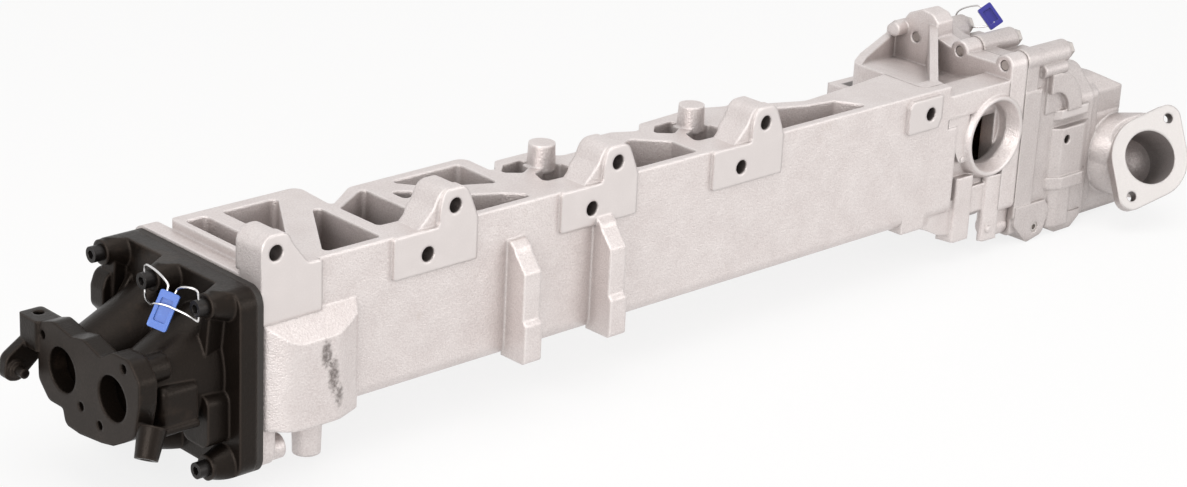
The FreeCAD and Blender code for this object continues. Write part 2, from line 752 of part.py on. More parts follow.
def tube_bar(x0, x1, y, z, shrink=0.0):
    """Return a solid bar with the outline of one flat tube."""
    half_w = tube_w / 2.0 - shrink
    half_h = tube_h / 2.0 - shrink
    return section(rectangle(y - half_w, y + half_w, z - half_h, z + half_h), x0, x1, half_h * 0.95)


def gas_tubes():
    """Return the flat tubes of the core, open at both ends."""
    start = front_header_x
    end = tube_end_x + header_t
    return group([tube_bar(start, end, y, z).cut(tube_bar(start - 1.0, end + 1.0, y, z, tube_wall))
                  for y, z in tube_places()])


def front_header_plate():
    """Return the front plate that the tube ends are brazed into."""
    slots = [tube_bar(front_header_x - 1.0, coolant_gasket_x + 1.0, y, z) for y, z in tube_places()]
    return inlet_layer(front_header_x, coolant_gasket_x, slots)


def rear_header_plate():
    """Return the rear plate of the core, free to slide in the tunnel as the tubes grow."""
    x1 = tube_end_x + header_t
    slots = [tube_bar(tube_end_x - 1.0, x1 + 1.0, y, z) for y, z in tube_places()]
    return core_opening(tube_end_x, x1, slide_gap).cut(slots)


def baffle_plates():
    """Return the plates that hold the tubes apart and send the coolant up and down."""
    plates = []
    for index in range(baffle_count):
        x = housing_x0 + (tube_end_x - housing_x0) * (index + 1.0) / (baffle_count + 1.0)
        body = core_opening(x, x + baffle_t, slide_gap)
        low = index % 2 == 0
        edge_z = tunnel_z0 if low else tunnel_z1
        window = box(x - 1.0, x + baffle_t + 1.0, tunnel_y0 + 12.0, tunnel_y1 - 12.0, edge_z - 3.0,
                     edge_z + 3.0)
        slots = [tube_bar(x - 1.0, x + baffle_t + 1.0, y, z) for y, z in tube_places()]
        plates.append(body.cut(slots + [window]))
    return group(plates)


def gas_collector():
    """Return the funnel that gathers the gas behind the rear header plate."""
    x0 = tube_end_x + header_t
    x1 = x0 + collector_len
    mouth_y = tunnel_w / 2.0 - slide_gap - 2.0
    mouth_z = (tunnel_z1 - tunnel_z0) / 2.0 - slide_gap - 1.0

    def shell(shrink):
        """Return the funnel as a solid, made smaller by the wall."""
        rim = oval_box(x0, core_mid_y, core_mid_z, mouth_y - shrink, mouth_z - shrink)
        neck = oval_box(x1, gas_axis_y, gas_axis_z, gas_pipe_r - shrink, gas_pipe_r - shrink)
        funnel = Part.makeLoft([rim, neck], True, True)
        pipe = rod(vec(x1, gas_axis_y, gas_axis_z), vec(x1 + 8.0, gas_axis_y, gas_axis_z),
                   gas_pipe_r - shrink)
        return joined([funnel, pipe])

    return shell(0.0).cut(shell(collector_wall))


def oval_box(x, y, z, half_y, half_z):
    """Return a rounded outline with flat sides that becomes a circle when the halves are equal."""
    radius = min(half_y, half_z) * 0.999
    if abs(half_y - half_z) > 1.0:
        radius = 10.0
    corners = [vec(x, y - half_y, z - half_z), vec(x, y + half_y, z - half_z),
               vec(x, y + half_y, z + half_z), vec(x, y - half_y, z + half_z)]
    return Part.Wire(smooth_corners(corners, radius))


def smooth_corners(corners, radius):
    """Return four sides and four corner arcs, so that two outlines always match for a loft."""
    edges = []
    count = len(corners)
    for i in range(count):
        back = corners[i - 1] - corners[i]
        ahead = corners[(i + 1) % count] - corners[i]
        reach = min(radius, 0.49 * back.Length, 0.49 * ahead.Length)
        b = FreeCAD.Vector(back).normalize()
        a = FreeCAD.Vector(ahead).normalize()
        center = corners[i] + b * reach + a * reach
        mid = center - (a + b) * (reach / math.sqrt(2.0))
        edges.append(Part.Arc(corners[i] + b * reach, mid, corners[i] + a * reach).toShape())
        following = corners[(i + 1) % count]
        other = min(radius, 0.49 * back.Length, 0.49 * ahead.Length)
        edges.append(Part.LineSegment(corners[i] + a * reach, following - a * other).toShape())
    return edges


def expansion_bellows():
    """Return the bellows that takes up the growth of the hot core."""
    x0 = tube_end_x + header_t + collector_len
    x1 = bellows_plate_x + bellows_plate_t
    inner = gas_pipe_r
    first = x0 + 10.0
    outer_line = [(x0 + 1.0, 0.0), (x0 + 1.0, inner + bellows_wall)]
    inner_line = [(x0, 0.0), (x0, inner)]
    for index in range(bellows_waves):
        start = first + index * bellows_pitch
        outer_line += wave(start, bellows_pitch * 0.58, inner + bellows_wall, bellows_r)
        inner_line += wave(start + bellows_wall, bellows_pitch * 0.58 - 2 * bellows_wall, inner,
                           bellows_r - bellows_wall)
    outer_line += [(x1, inner + bellows_wall), (x1, 0.0)]
    inner_line += [(x1 + 1.0, inner), (x1 + 1.0, 0.0)]
    outer = revolved(outer_line, wave_radii(len(outer_line), 1.9), gas_axis_y, gas_axis_z)
    hollow = revolved(inner_line, wave_radii(len(inner_line), 1.0), gas_axis_y, gas_axis_z)
    return outer.cut(hollow)


def wave(start, width, root, crest):
    """Return the four corners of one wave of the bellows."""
    return [(start, root), (start, crest), (start + width, crest), (start + width, root)]


def wave_radii(count, radius):
    """Return the corner radii of a wavy outline whose first and last two corners are sharp."""
    return [0.0, 0.0] + [radius] * (count - 4) + [0.0, 0.0]


def bellows_flange():
    """Return the plate that closes the coolant space and carries the end of the bellows."""
    x0 = bellows_plate_x
    x1 = x0 + bellows_plate_t
    body = section(
        rectangle(plate_y0, plate_y1, plate_z0, plate_z1), x0, x1, 10.0)
    hole = rod(vec(x0 - 1.0, gas_axis_y, gas_axis_z), vec(x1 + 1.0, gas_axis_y, gas_axis_z),
               gas_pipe_r + bellows_wall)
    return body.cut(hole)


def gas_seal_ring():
    """Return the metal ring that seals the gas joint behind the bellows plate."""
    x0 = bellows_plate_x + bellows_plate_t
    outer = rod(vec(x0, gas_axis_y, gas_axis_z), vec(x0 + seal_depth, gas_axis_y, gas_axis_z), seal_r1)
    inner = rod(vec(x0 - 1.0, gas_axis_y, gas_axis_z), vec(x0 + seal_depth + 1.0, gas_axis_y, gas_axis_z),
                seal_r0)
    return outer.cut(inner)


def port_outline():
    """Return the (y, z) outline of the flange that carries the two gas ports."""
    return [(131.0, -68.0), (133.0, -90.0), (133.0, -110.0), (121.0, -122.0), (104.0, -122.0),
            (101.0, -133.0), (84.0, -134.0), (58.0, -131.0), (44.0, -128.0), (31.0, -121.0),
            (20.0, -114.0), (14.0, -90.0), (13.0, -73.0), (25.0, -60.0), (44.0, -61.0),
            (58.0, -69.0), (78.0, -63.0), (92.0, -66.0), (114.0, -62.0)]


def port_stud_places():
    """Return the (y, z) place of each threaded hole in the port face."""
    return [(127.0, -76.0), (31.0, -68.0), (82.0, -113.0), (60.0, -119.0)]


def manifold_duct(y):
    """Return the outside of one gas duct, from inside the port flange to inside the inlet flange."""
    start = port_face_x + port_flange_t - 4.0
    end = manifold_face_x - manifold_flange_t - 4.0
    mid_y = core_mid_y + (y - core_mid_y) * duct_spread
    half_y = duct_half_y + duct_wall
    half_z = duct_half_z + duct_wall + 6.0
    radius = port_r + duct_wall
    narrow = oval(start, y, port_z, radius - 0.5, radius)
    wide = oval(end, mid_y, core_mid_z, half_y, half_z)
    return [Part.makeLoft([narrow, wide], True, False), Part.Face(wide).extrude(vec(8.0, 0, 0))]


def manifold_passage(y):
    """Return the inside of one gas duct: a machined port, then the wider cast passage."""
    knee = port_face_x + port_bore_len
    end = manifold_face_x - manifold_flange_t - 4.0
    mid_y = core_mid_y + (y - core_mid_y) * duct_spread
    port = rod(vec(port_face_x - 1.0, y, port_z), vec(knee + 0.5, y, port_z), port_r)
    narrow = oval(knee, y, port_z, port_r + 0.8, port_r + 1.4)
    wide = oval(end, mid_y, core_mid_z, duct_half_y, duct_half_z)
    loft = Part.makeLoft([narrow, wide], True, False)
    mouth = Part.Face(wide).extrude(vec(manifold_flange_t + 8.0, 0, 0))
    return joined([port, loft, mouth])


def inlet_manifold():
    """Return the iron casting that splits the hot gas over the core."""
    x1 = manifold_face_x
    x0 = x1 - manifold_flange_t
    pieces = [section(rectangle(flange_y0, flange_y1, flange_z0, flange_z1), x0, x1, flange_corner_r)]
    for y in port_y:
        pieces += manifold_duct(y)
    port_radii = [8.0, 4.0, 8.0, 8.0, 3.0, 6.0, 4.0, 3.0, 6.0, 6.0, 10.0, 10.0, 9.0, 9.0, 8.0, 6.0, 8.0, 6.0,
                  10.0]
    pieces.append(section(port_outline(), port_face_x, port_face_x + port_flange_t, port_radii))
    pieces += screw_towers(x0)
    pieces.append(rod(vec(port_face_x + 4.0, 30.0, -73.0), vec(-70.0, 30.0, -73.0), 10.0))
    pieces.append(front_box(x0))
    saddle = section([(44.0, -112.0), (44.0, -72.0), (58.0, -64.0), (86.0, -66.0), (90.0, -112.0)], -46.0,
                     x0 + 1.0, [4.0, 8.0, 12.0, 12.0, 4.0])
    pieces.append(saddle)
    pieces += manifold_block() + manifold_arm() + manifold_lug() + manifold_drain_boss()
    body = joined(pieces)
    cutters = []
    for y in port_y:
        cutters.append(manifold_passage(y))
    web = section(rectangle(core_mid_y - 8.0, core_mid_y + 8.0, core_mid_z - 26.0, core_mid_z + 26.0),
                  x1 - 12.0, x1 + 1.0, 4.0)
    cutters.append(web)
    for y, z in inlet_screw_places():
        cutters.append(rod(vec(screw_tower_x - 1.0, y, z), vec(x1 + 1.0, y, z), clear_r))
    for y, z in inlet_dowel_places():
        cutters.append(rod(vec(x1 - dowel_len / 2.0, y, z), vec(x1 + 1.0, y, z), dowel_r))
    for y, z in port_stud_places():
        cutters.append(rod(vec(port_face_x - 1.0, y, z), vec(port_face_x + port_stud_depth, y, z),
                           port_stud_r))
    cutters.append(rod(vec(block_hole_x, block_hole_y, block_top_z - block_hole_len),
                       vec(block_hole_x, block_hole_y, block_top_z + 1.0), block_hole_r))
    cutters.append(rod(drain_boss_end + drain_boss_way, drain_boss_end - drain_boss_way * 12.0, 4.0))
    return body.cut(cutters)


def screw_towers(seat_x):
    """Return the tapered towers of the manifold screws, with the gusset under the front one."""
    outline = section(rectangle(flange_y0, flange_y1, flange_z0, flange_z1), screw_tower_x - 1.0,
                      seat_x + 2.0,
                      flange_corner_r)
    towers = []
    for y, z in inlet_screw_places():
        towers.append(rod(vec(screw_tower_x, y, z), vec(seat_x + 1.0, y, z), screw_tower_r))
        towers.append(cone(vec(screw_tower_x + 3.0, y, z), vec(seat_x + 1.0, y, z), screw_tower_r,
                           tower_foot_r))
    below = section([(14.0, -36.0), (22.0, -36.0), (29.0, -66.0), (26.0, -82.0), (20.0, -76.0)],
                    seat_x - 13.0,
                    seat_x + 1.0, [0.0, 0.0, 6.0, 3.0, 5.0])
    back = section([(128.0, -36.0), (144.0, -36.0), (144.0, -92.0), (134.0, -92.0)], seat_x - 10.0,
                   seat_x + 1.0,
                   [0.0, 0.0, 4.0, 6.0])
    return [tower.common(outline) for tower in towers] + [below, back]


def front_box(seat_x):
    """Return the rounded box on the front duct, with the thin rim along its foot."""
    body = section([(14.0, -83.0), (44.0, -83.0), (44.0, -114.0), (14.0, -113.0)], -81.0, -53.0, 6.0)
    body = rounded(body, 4.0, lambda edge: edge_at_x(edge, -81.0))
    rim = section([(12.5, -110.0), (44.0, -110.0), (44.0, -116.0), (12.5, -116.0)], -82.0, -53.0, 2.5)
    foot = section([(10.0, -96.0), (40.0, -96.0), (40.0, -134.0), (10.0, -134.0)], -48.0, seat_x + 1.0, 8.0)
    return joined([body, rim, foot])


def manifold_block():
    """Return the small block with an upright hole beside the rear port."""
    block = plan([(port_face_x - 2.0, 132.0), (port_face_x - 2.0, 154.0), (port_face_x + 17.0, 154.0),
                  (port_face_x + 17.0, 128.0), (port_face_x + 6.0, 128.0)], -90.0, block_top_z,
                 [2.0, 3.0, 3.0, 0.0, 0.0])
    return [block]


def manifold_arm():
    """Return the rounded arm with its stop pin that hangs from the block."""
    y0 = 146.0
    arm = side([(-84.0, -80.0), (-98.0, -84.0), (-117.0, -96.0), (-119.0, -112.0), (-107.0, -115.0),
                (-94.0, -104.0), (-84.0, -96.0)], y0, y0 + 8.0, [3.0, 6.0, 9.0, 9.0, 8.0, 8.0, 3.0])
    pin = rod(vec(-110.0, y0 - 12.0, -105.0), vec(-110.0, y0 + 1.0, -105.0), 3.5)
    foot = rod(vec(-110.0, y0 - 3.0, -105.0), vec(-110.0, y0 + 1.0, -105.0), 6.0)
    return [arm, pin, foot]


def manifold_lug():
    """Return the rounded lug above the rear duct with the thin rib below it."""
    lug = side([(-48.0, -58.0), (-44.0, -47.0), (-20.0, -44.0), (-20.0, -90.0), (-36.0, -86.0),
                (-48.0, -72.0)],
               132.0, 147.0, [8.0, 8.0, 0.0, 0.0, 8.0, 8.0])
    rib = side([(-86.0, -80.0), (-70.0, -76.0), (-49.0, -73.0), (-33.0, -50.0), (-20.0, -34.0),
                (-20.0, -96.0),
                (-86.0, -96.0)], 122.0, 127.0, [3.0, 3.0, 8.0, 10.0, 0.0, 0.0, 0.0])
    return [lug, rib]


def manifold_drain_boss():
    """Return the slanted boss under the front port."""
    return [cone(drain_boss_end, drain_boss_end - drain_boss_way * drain_boss_len, 8.0, 10.0)]


def inlet_screws():
    """Return the six screws of the inlet manifold; two heads are drilled for the locking wire."""
    screws = [socket_screw(screw_tower_x, inlet_screw_tip_x, y, z, inlet_head_r, inlet_head_h, screw_r)
              for y, z in inlet_screw_places()]
    return group([screw.cut(inlet_wire_hole()) for screw in screws])


def inlet_dowels():
    """Return the two dowels that line up the manifold, the header plate and the housing."""
    half = dowel_len / 2.0
    return group([rod(vec(manifold_face_x - half, y, z), vec(housing_x0 + half, y, z), dowel_r)
                  for y, z in inlet_dowel_places()])


def outlet_gasket(x0, x1):
    """Return the gasket of the outlet joint."""
    body = joint_flange(x0, x1, False)
    holes = [rod(vec(x0 - 1.0, y, z), vec(x1 + 1.0, y, z), clear_r) for y, z in joint_top_places()]
    holes += [rod(vec(x0 - 1.0, y, z), vec(x1 + 1.0, y, z), low_clear_r) for y, z in joint_low_places()]
    holes += [rod(vec(x0 - 1.0, y, z), vec(x1 + 1.0, y, z), outlet_dowel_r) for y,
              z in outlet_dowel_places()]
    opening = section(rectangle(joint_open_y0, header_y1, header_z0, header_z1), x0 - 1.0, x1 + 1.0, 8.0)
    return body.cut(holes + [opening])


def outlet_dowel_places():
    """Return the (y, z) place of each dowel of the outlet joint."""
    return [(joint_y0 + 7.0, -122.0), (joint_y1 - 8.0, -76.0)]


def outlet_dowels():
    """Return the two dowels of the outlet joint."""
    half = dowel_len / 2.0
    return group([rod(vec(housing_x1 - half, y, z), vec(outlet_x0 + half, y, z), outlet_dowel_r)
                  for y, z in outlet_dowel_places()])


def outlet_housing():
    """Return the casting that leads the gas from the bellows to the end cover."""
    x0 = outlet_x0
    x1 = outlet_x1
    front = outlet_front_y
    pieces = [joint_flange(x0, x0 + outlet_flange_len, False)]
    high = section(
        [(front, -26.0), (front + 8.0, -16.0), (118.0, -16.0), (132.0, -34.0), (136.0, -100.0),
         (132.0, outlet_belly_z), (front, outlet_belly_z)], x0, x0 + 54.0,
        [4.0, 3.0, 8.0, 10.0, 0.0, 8.0, 8.0])
    low = section(
        [(front, -56.0), (front + 22.0, -32.0), (110.0, -40.0), (122.0, -60.0), (122.0, outlet_belly_z),
         (front, outlet_belly_z)], x0, x1, [10.0, 14.0, 10.0, 8.0, 8.0, 4.0])
    base = section(rectangle(front, 118.0, -168.0, outlet_belly_z + 10.0), 838.0, x1, [6.0, 6.0, 0.0, 0.0])
    skirt = section(rectangle(front, 30.0, -166.0, outlet_belly_z + 10.0), x0, 839.0, [4.0, 4.0, 0.0, 0.0])
    pieces += [high, low, base, skirt]
    for y, length in zip(joint_screw_y, outlet_ridge_len):
        pieces.append(rod(vec(x0, y, joint_top_z), vec(x0 + length, y, joint_top_z), outlet_ridge_r))
        pieces.append(box(x0, x0 + length - 2.0, y - outlet_ridge_r + 3.0, y + outlet_ridge_r - 3.0, -40.0,
                          joint_top_z))
    back_block = section([(92.0, -30.0), (138.0, -34.0), (133.0, -16.0), (122.0, -5.0), (96.0, -4.0)], x0,
                         x0 + 34.0,
                         [0.0, 0.0, 6.0, 8.0, 8.0])
    pieces.append(back_block)
    pieces += outlet_front_steps()
    pieces.append(side([(x0 + 2.0, -140.0), (x0 + 2.0, -156.0), (805.0, outlet_foot_z), (826.0, -171.0),
                        (834.0, -150.0), (826.0, -140.0)], 1.0, 30.0, [0.0, 4.0, 5.0, 8.0, 4.0, 0.0]))
    pieces.append(side([(838.0, -160.0), (838.0, -171.0), (846.0, outlet_foot_z), (868.0, outlet_foot_z),
                        (880.0, -166.0), (880.0, -160.0)], 3.0, 118.0, [0.0, 3.0, 5.0, 5.0, 3.0, 0.0]))
    body = joined(pieces)
    cutters = []
    for (y, z), length in zip(joint_top_places(), outlet_ridge_len):
        cutters.append(rod(vec(x0 - 1.0, y, z), vec(x1 + 1.0, y, z), clear_r))
        cutters.append(rod(vec(x0 + length, y, z), vec(x1 + 1.0, y, z), screw_collar_r + 1.0))
    for y, z in joint_low_places():
        cutters.append(rod(vec(x0 - 1.0, y, z), vec(x0 + low_thread_len, y, z), low_screw_r))
    for y, z in outlet_dowel_places():
        cutters.append(rod(vec(x0 - 1.0, y, z), vec(x0 + dowel_len / 2.0, y, z), outlet_dowel_r))
    for y, z in cover_screw_places():
        cutters.append(rod(vec(x1 - 16.0, y, z), vec(x1 + 1.0, y, z), screw_r))
    face = bellows_plate_x + bellows_plate_t
    cutters.append(section(rectangle(plate_y0, plate_y1, plate_z0, plate_z1), x0 - 1.0, face, 10.0))
    cutters.append(rod(vec(face - 1.0, gas_axis_y, gas_axis_z), vec(face + seal_depth, gas_axis_y,
                                                                    gas_axis_z),
                       seal_r1))
    cutters.append(outlet_passage())
    cutters.append(rod(vec(column_x, -8.0, column_z), vec(column_x, column_hole_y1, column_z),
                       column_hole_r))
    cutters.append(rod(vec(plug_x, 0.0, plug_z), vec(plug_x, plug_len, plug_z), plug_r))
    return body.cut(cutters)


def outlet_front_steps():
    """Return the steps on the front of the outlet housing: shoulder, pad column, lip and lower column."""
    front = outlet_front_y
    back = front + 10.0
    shoulder = rod(vec(shoulder_x, shoulder_y, shoulder_z), vec(shoulder_x, back, shoulder_z), shoulder_r1)
    shoulder = shoulder.cut(rod(vec(shoulder_x, shoulder_y - 1.0, shoulder_z), vec(shoulder_x, back + 1.0,
                                                                                   shoulder_z),
                                shoulder_r0))
    quarter = box(shoulder_x - 6.0, shoulder_x + 60.0, shoulder_y - 1.0, back + 1.0, shoulder_z,
                  shoulder_z + 60.0)
    web = rod(vec(shoulder_x, front - 1.5, shoulder_z), vec(shoulder_x, back, shoulder_z), shoulder_r0 + 1.0)
    ledge = plan([(828.0, back), (830.0, front - 1.0), (836.0, front - 4.0), (874.0, front - 4.0),
                  (880.0, back)],
                 shoulder_z - 8.0, shoulder_z + 1.0, [0.0, 2.0, 3.0, 4.0, 0.0])
    pad = plan([(829.0, back), (829.0, front - 1.0), (836.0, column_face_y), (867.0, column_face_y),
                (880.0, front), (880.0, back)], -122.0, -77.0, [0.0, 3.0, 5.0, 8.0, 5.0, 0.0])
    lip = plan([(825.0, back), (827.0, front - 2.0), (838.0, column_face_y - 2.0),
                (868.0, column_face_y - 2.0),
                (880.0, front - 1.0), (880.0, back)], -132.0, -121.0, [0.0, 4.0, 6.0, 6.0, 4.0, 0.0])
    column = plan([(830.0, back), (832.0, front - 2.0), (840.0, column_face_y + 2.0),
                   (857.0, column_face_y + 2.0),
                   (865.0, front), (865.0, back)], -168.0, -131.0, [0.0, 4.0, 6.0, 4.0, 3.0, 0.0])
    boss = rod(vec(806.0, front, -22.0), vec(836.0, front, -22.0), 6.0)
    edge = section([(front - 2.5, -36.0), (front + 4.0, -36.0), (front + 4.0, -150.0),
                    (front - 2.5, -150.0)],
                   outlet_x0, 808.0, [2.0, 0.0, 0.0, 2.0])
    return [shoulder.common(quarter), web.common(quarter), ledge, pad, lip, column, boss, edge]


def outlet_passage():
    """Return the gas passage of the outlet housing, round at the bellows and wide at the end cover."""
    x0 = bellows_plate_x + bellows_plate_t
    narrow = oval_box(x0 + seal_depth, gas_axis_y, gas_axis_z, seal_r0 + 1.5, seal_r0 + 1.5)
    wide = oval_box(outlet_x1 + 1.0, (cavity_y0 + cavity_y1) / 2.0, (cavity_z0 + cavity_z1) / 2.0,
                    (cavity_y1 - cavity_y0) / 2.0, (cavity_z1 - cavity_z0) / 2.0)
    loft = Part.makeLoft([narrow, wide], True, True)
    mouth = rod(vec(x0 - 1.0, gas_axis_y, gas_axis_z), vec(x0 + seal_depth + 0.5, gas_axis_y, gas_axis_z),
                seal_r0)
    return joined([loft, mouth])


def outlet_housing_screws():
    """Return the three long screws along the top of the outlet joint; the rear one holds the wire."""
    screws = []
    for (y, z), length in zip(joint_top_places(), outlet_ridge_len):
        screw = flange_screw(outlet_x0 + length, joint_face_x + 1.0, y, z)
        screws.append(screw)
    screws[-1] = screws[-1].cut(outlet_wire_hole())
    return group(screws)


def outlet_lower_screws():
    """Return the three short socket screws along the foot of the outlet joint."""
    seat = joint_face_x + low_head_h
    tip = outlet_x0 + low_thread_len - 1.0
    return group([socket_screw(seat, tip, y, z, low_head_r, low_head_h, low_screw_r)
                  for y, z in joint_low_places()])


def cover_screw_places():
    """Return the (y, z) place of each screw of the end cover."""
    return [(y, z) for y in cover_screw_y for z in cover_screw_z]


def cover_section(x0, x1):
    """Return the flange of the end cover between two planes."""
    return section(
        [(6.0, -56.0), (26.0, -42.0), (106.0, -50.0), (116.0, -64.0), (116.0, -166.0), (6.0, -166.0)], x0,
        x1,
        [8.0, 12.0, 10.0, 8.0, 10.0, 10.0])


def end_cover_gasket():
    """Return the gasket between the outlet housing and the end cover."""
    body = cover_section(outlet_x1, cover_x0)
    holes = [rod(vec(outlet_x1 - 1.0, y, z), vec(cover_x0 + 1.0, y, z), clear_r) for y,
             z in cover_screw_places()]
    opening = section(rectangle(cavity_y0, cavity_y1, cavity_z0, cavity_z1), outlet_x1 - 1.0, cover_x0 + 1.0,
                      10.0)
    return body.cut(holes + [opening])


def outlet_normal():
    """Return the direction that the slanted outlet flange faces."""
    turn = math.radians(outlet_turn_deg)
    tilt = math.radians(outlet_tilt_deg)
    return vec(-math.sin(turn) * math.cos(tilt), -math.cos(turn) * math.cos(tilt), math.sin(tilt))


def outlet_axes():
    """Return the level and the rising direction in the face of the slanted flange."""
    normal = outlet_normal()
    level = vec(0, 0, 1).cross(normal)
    level.normalize()
    return level, normal.cross(level)


def two_bolt_flange():
    """Return the slanted flange: a round middle drawn out to a lobe at each bolt."""
    level, rising = outlet_axes()
    reach = math.hypot(outlet_bolt_u, outlet_bolt_v)
    along = level * (outlet_bolt_u / reach) + rising * (outlet_bolt_v / reach)
    across = outlet_normal().cross(along)
    spread = math.acos((outlet_mid_r - outlet_lobe_r) / reach)

    def at(distance, radius, angle):
        """Return a point on a circle whose centre lies along the bolt line."""
        outward = along * (distance + radius * math.cos(angle))
        return outlet_center + outward + across * (radius * math.sin(angle))

    edges = [
        Part.Arc(at(reach, outlet_lobe_r, -spread), at(reach, outlet_lobe_r, 0.0),
                 at(reach, outlet_lobe_r, spread)),
        Part.LineSegment(at(reach, outlet_lobe_r, spread), at(0.0, outlet_mid_r, spread)),
        Part.Arc(at(0.0, outlet_mid_r, spread), at(0.0, outlet_mid_r, math.pi / 2.0),
                 at(0.0, outlet_mid_r, math.pi - spread)),
        Part.LineSegment(at(0.0, outlet_mid_r, math.pi - spread), at(-reach, outlet_lobe_r,
                                                                     math.pi - spread)),
        Part.Arc(at(-reach, outlet_lobe_r, math.pi - spread), at(-reach, outlet_lobe_r, math.pi),
                 at(-reach, outlet_lobe_r, math.pi + spread)),
        Part.LineSegment(at(-reach, outlet_lobe_r, math.pi + spread), at(0.0, outlet_mid_r,
                                                                         math.pi + spread)),
        Part.Arc(at(0.0, outlet_mid_r, math.pi + spread), at(0.0, outlet_mid_r, 1.5 * math.pi),
                 at(0.0, outlet_mid_r, -spread)),
        Part.LineSegment(at(0.0, outlet_mid_r, -spread), at(reach, outlet_lobe_r, -spread)),
    ]
    outline = Part.Wire([edge.toShape() for edge in edges])
    return Part.Face(outline).extrude(outlet_normal() * -outlet_flange_t)


def outlet_bolt_places():
    """Return the centre of each bolt hole in the slanted flange."""
    level, rising = outlet_axes()
    step = level * outlet_bolt_u + rising * outlet_bolt_v
    return [outlet_center + step, outlet_center - step]


def elbow(radius, face_grow):
    """Return the bend from the slanted flange back into the cover, as a solid."""
    normal = outlet_normal()
    knee = outlet_center - normal * outlet_knee
    inner_end = vec(cover_x0 + 6.0, elbow_end_y, elbow_end_z)
    neck = rod(outlet_center + normal * face_grow, knee, radius)
    ball = Part.makeSphere(radius, knee)
    duct = rod(knee, inner_end, radius)
    return [neck, ball, duct]


def elbow_crown():
    """Return the raised back of the bend, which reaches up to the head of the slanted flange."""
    level, rising = outlet_axes()
    normal = outlet_normal()
    top = outlet_center + rising * 14.0 - normal * 14.0
    root = vec(cover_x0 + 6.0, elbow_end_y, elbow_end_z)
    back = rod(root, top + (top - root) * 0.3, 27.0)
    behind_face = rod(outlet_center - normal * 3.0, outlet_center - normal * 150.0, 120.0)
    side_limit = rod(outlet_center, outlet_center - normal * 150.0, 40.0)
    return back.common(behind_face).common(joined([side_limit, rod(root, top, 27.0)]))


def end_cover():
    """Return the elbow casting with the slanted outlet flange."""
    x0 = cover_x0
    hood_x = x0 + hood_len
    pieces = [cover_section(x0, x0 + 9.0)]
    pieces.append(box_rounded(x0, x0 + cover_len, 8.0, 114.0, -166.0, -72.0, 10.0))
    hood = section([(9.0, -80.0), (9.0, -58.0), (20.0, -41.0), (108.0, -54.0), (112.0, -80.0)], x0, hood_x,
                   [0.0, 8.0, 8.0, 8.0, 0.0])
    hood = rounded(hood, 8.0, lambda edge: edge_at_x(edge, hood_x) and edge.Length > 20.0)
    fall = side([(x0 - 1.0, -36.0), (x0, -36.0), (hood_x + 1.0, -60.0), (hood_x + 1.0, -90.0),
                 (x0 - 1.0, -90.0)],
                0.0, 130.0)
    pieces.append(hood.common(fall))
    pieces.append(box_rounded(x0 + 1.0, x0 + cover_foot_len, 10.0, 110.0, cover_foot_z, -146.0, 10.0))
    pieces += elbow(outlet_bore_r + outlet_neck_wall, -1.0)
    pieces.append(elbow_crown())
    pieces.append(two_bolt_flange())
    body = joined(pieces)
    body = body.cut(box(x0 - 60.0, x0, -60.0, 140.0, -200.0, 20.0))
    chamber = box_rounded(x0 - 1.0, x0 + cover_len - 10.0, cavity_y0, cavity_y1, cavity_z0, cavity_z1, 8.0)
    bore = joined(elbow(outlet_bore_r, 1.0))
    cutters = [chamber, bore.cut(box(x0 - 60.0, x0 - 1.0, -60.0, 140.0, -200.0, 20.0))]
    for place in outlet_bolt_places():
        cutters.append(rod(place + outlet_normal(), place - outlet_normal() * (outlet_flange_t + 12.0),
                           outlet_bolt_r))
    for y, z in cover_screw_places():
        cutters.append(rod(vec(x0 - 1.0, y, z), vec(cover_seat_x + 1.0, y, z), clear_r))
        cutters.append(rod(vec(cover_seat_x, y, z), vec(x0 + cover_foot_len + 8.0, y, z),
                           screw_collar_r + 0.4))
    return body.cut(cutters)


def edge_at_x(edge, x):
    """Tell whether an edge lies in one plane across the cooler."""
    return all(abs(vertex.X - x) < 0.01 for vertex in edge.Vertexes)


def box_rounded(x0, x1, y0, y1, z0, z1, radius):
    """Return a block with rounded long edges and a rounded end."""
    block = section(rectangle(y0, y1, z0, z1), x0, x1, radius)
    return rounded(block, radius * 0.6, lambda edge: edge_at_x(edge, x1))


def end_cover_screws():
    """Return the four screws of the end cover."""
    return group([flange_screw(cover_seat_x, outlet_x1 - 14.0, y, z) for y, z in cover_screw_places()])


def drain_plug():
    """Return the hollow-head plug in the lower lug of the outlet housing."""
    body = rod(vec(plug_x, 1.6, plug_z), vec(plug_x, plug_len, plug_z), plug_r)
    socket = rod(vec(plug_x, 0.0, plug_z), vec(plug_x, 5.0, plug_z), plug_r * 0.5)
    return body.cut(socket)


def inlet_wire_hole():
    """Return the cutters of the upright holes through the two drilled screw heads."""
    x = inlet_wire_x
    z = inlet_wire_z
    return [rod(vec(x, y, z - 12.0), vec(x, y, z + 12.0), wire_hole_r) for y in inlet_screw_y[:2]]


def outlet_wire_hole():
    """Return the cutter of the cross hole through the rear screw head."""
    y = joint_screw_y[-1]
    return rod(vec(outlet_wire_x, y - 12.0, joint_top_z), vec(outlet_wire_x, y + 12.0, joint_top_z),
               wire_hole_r)


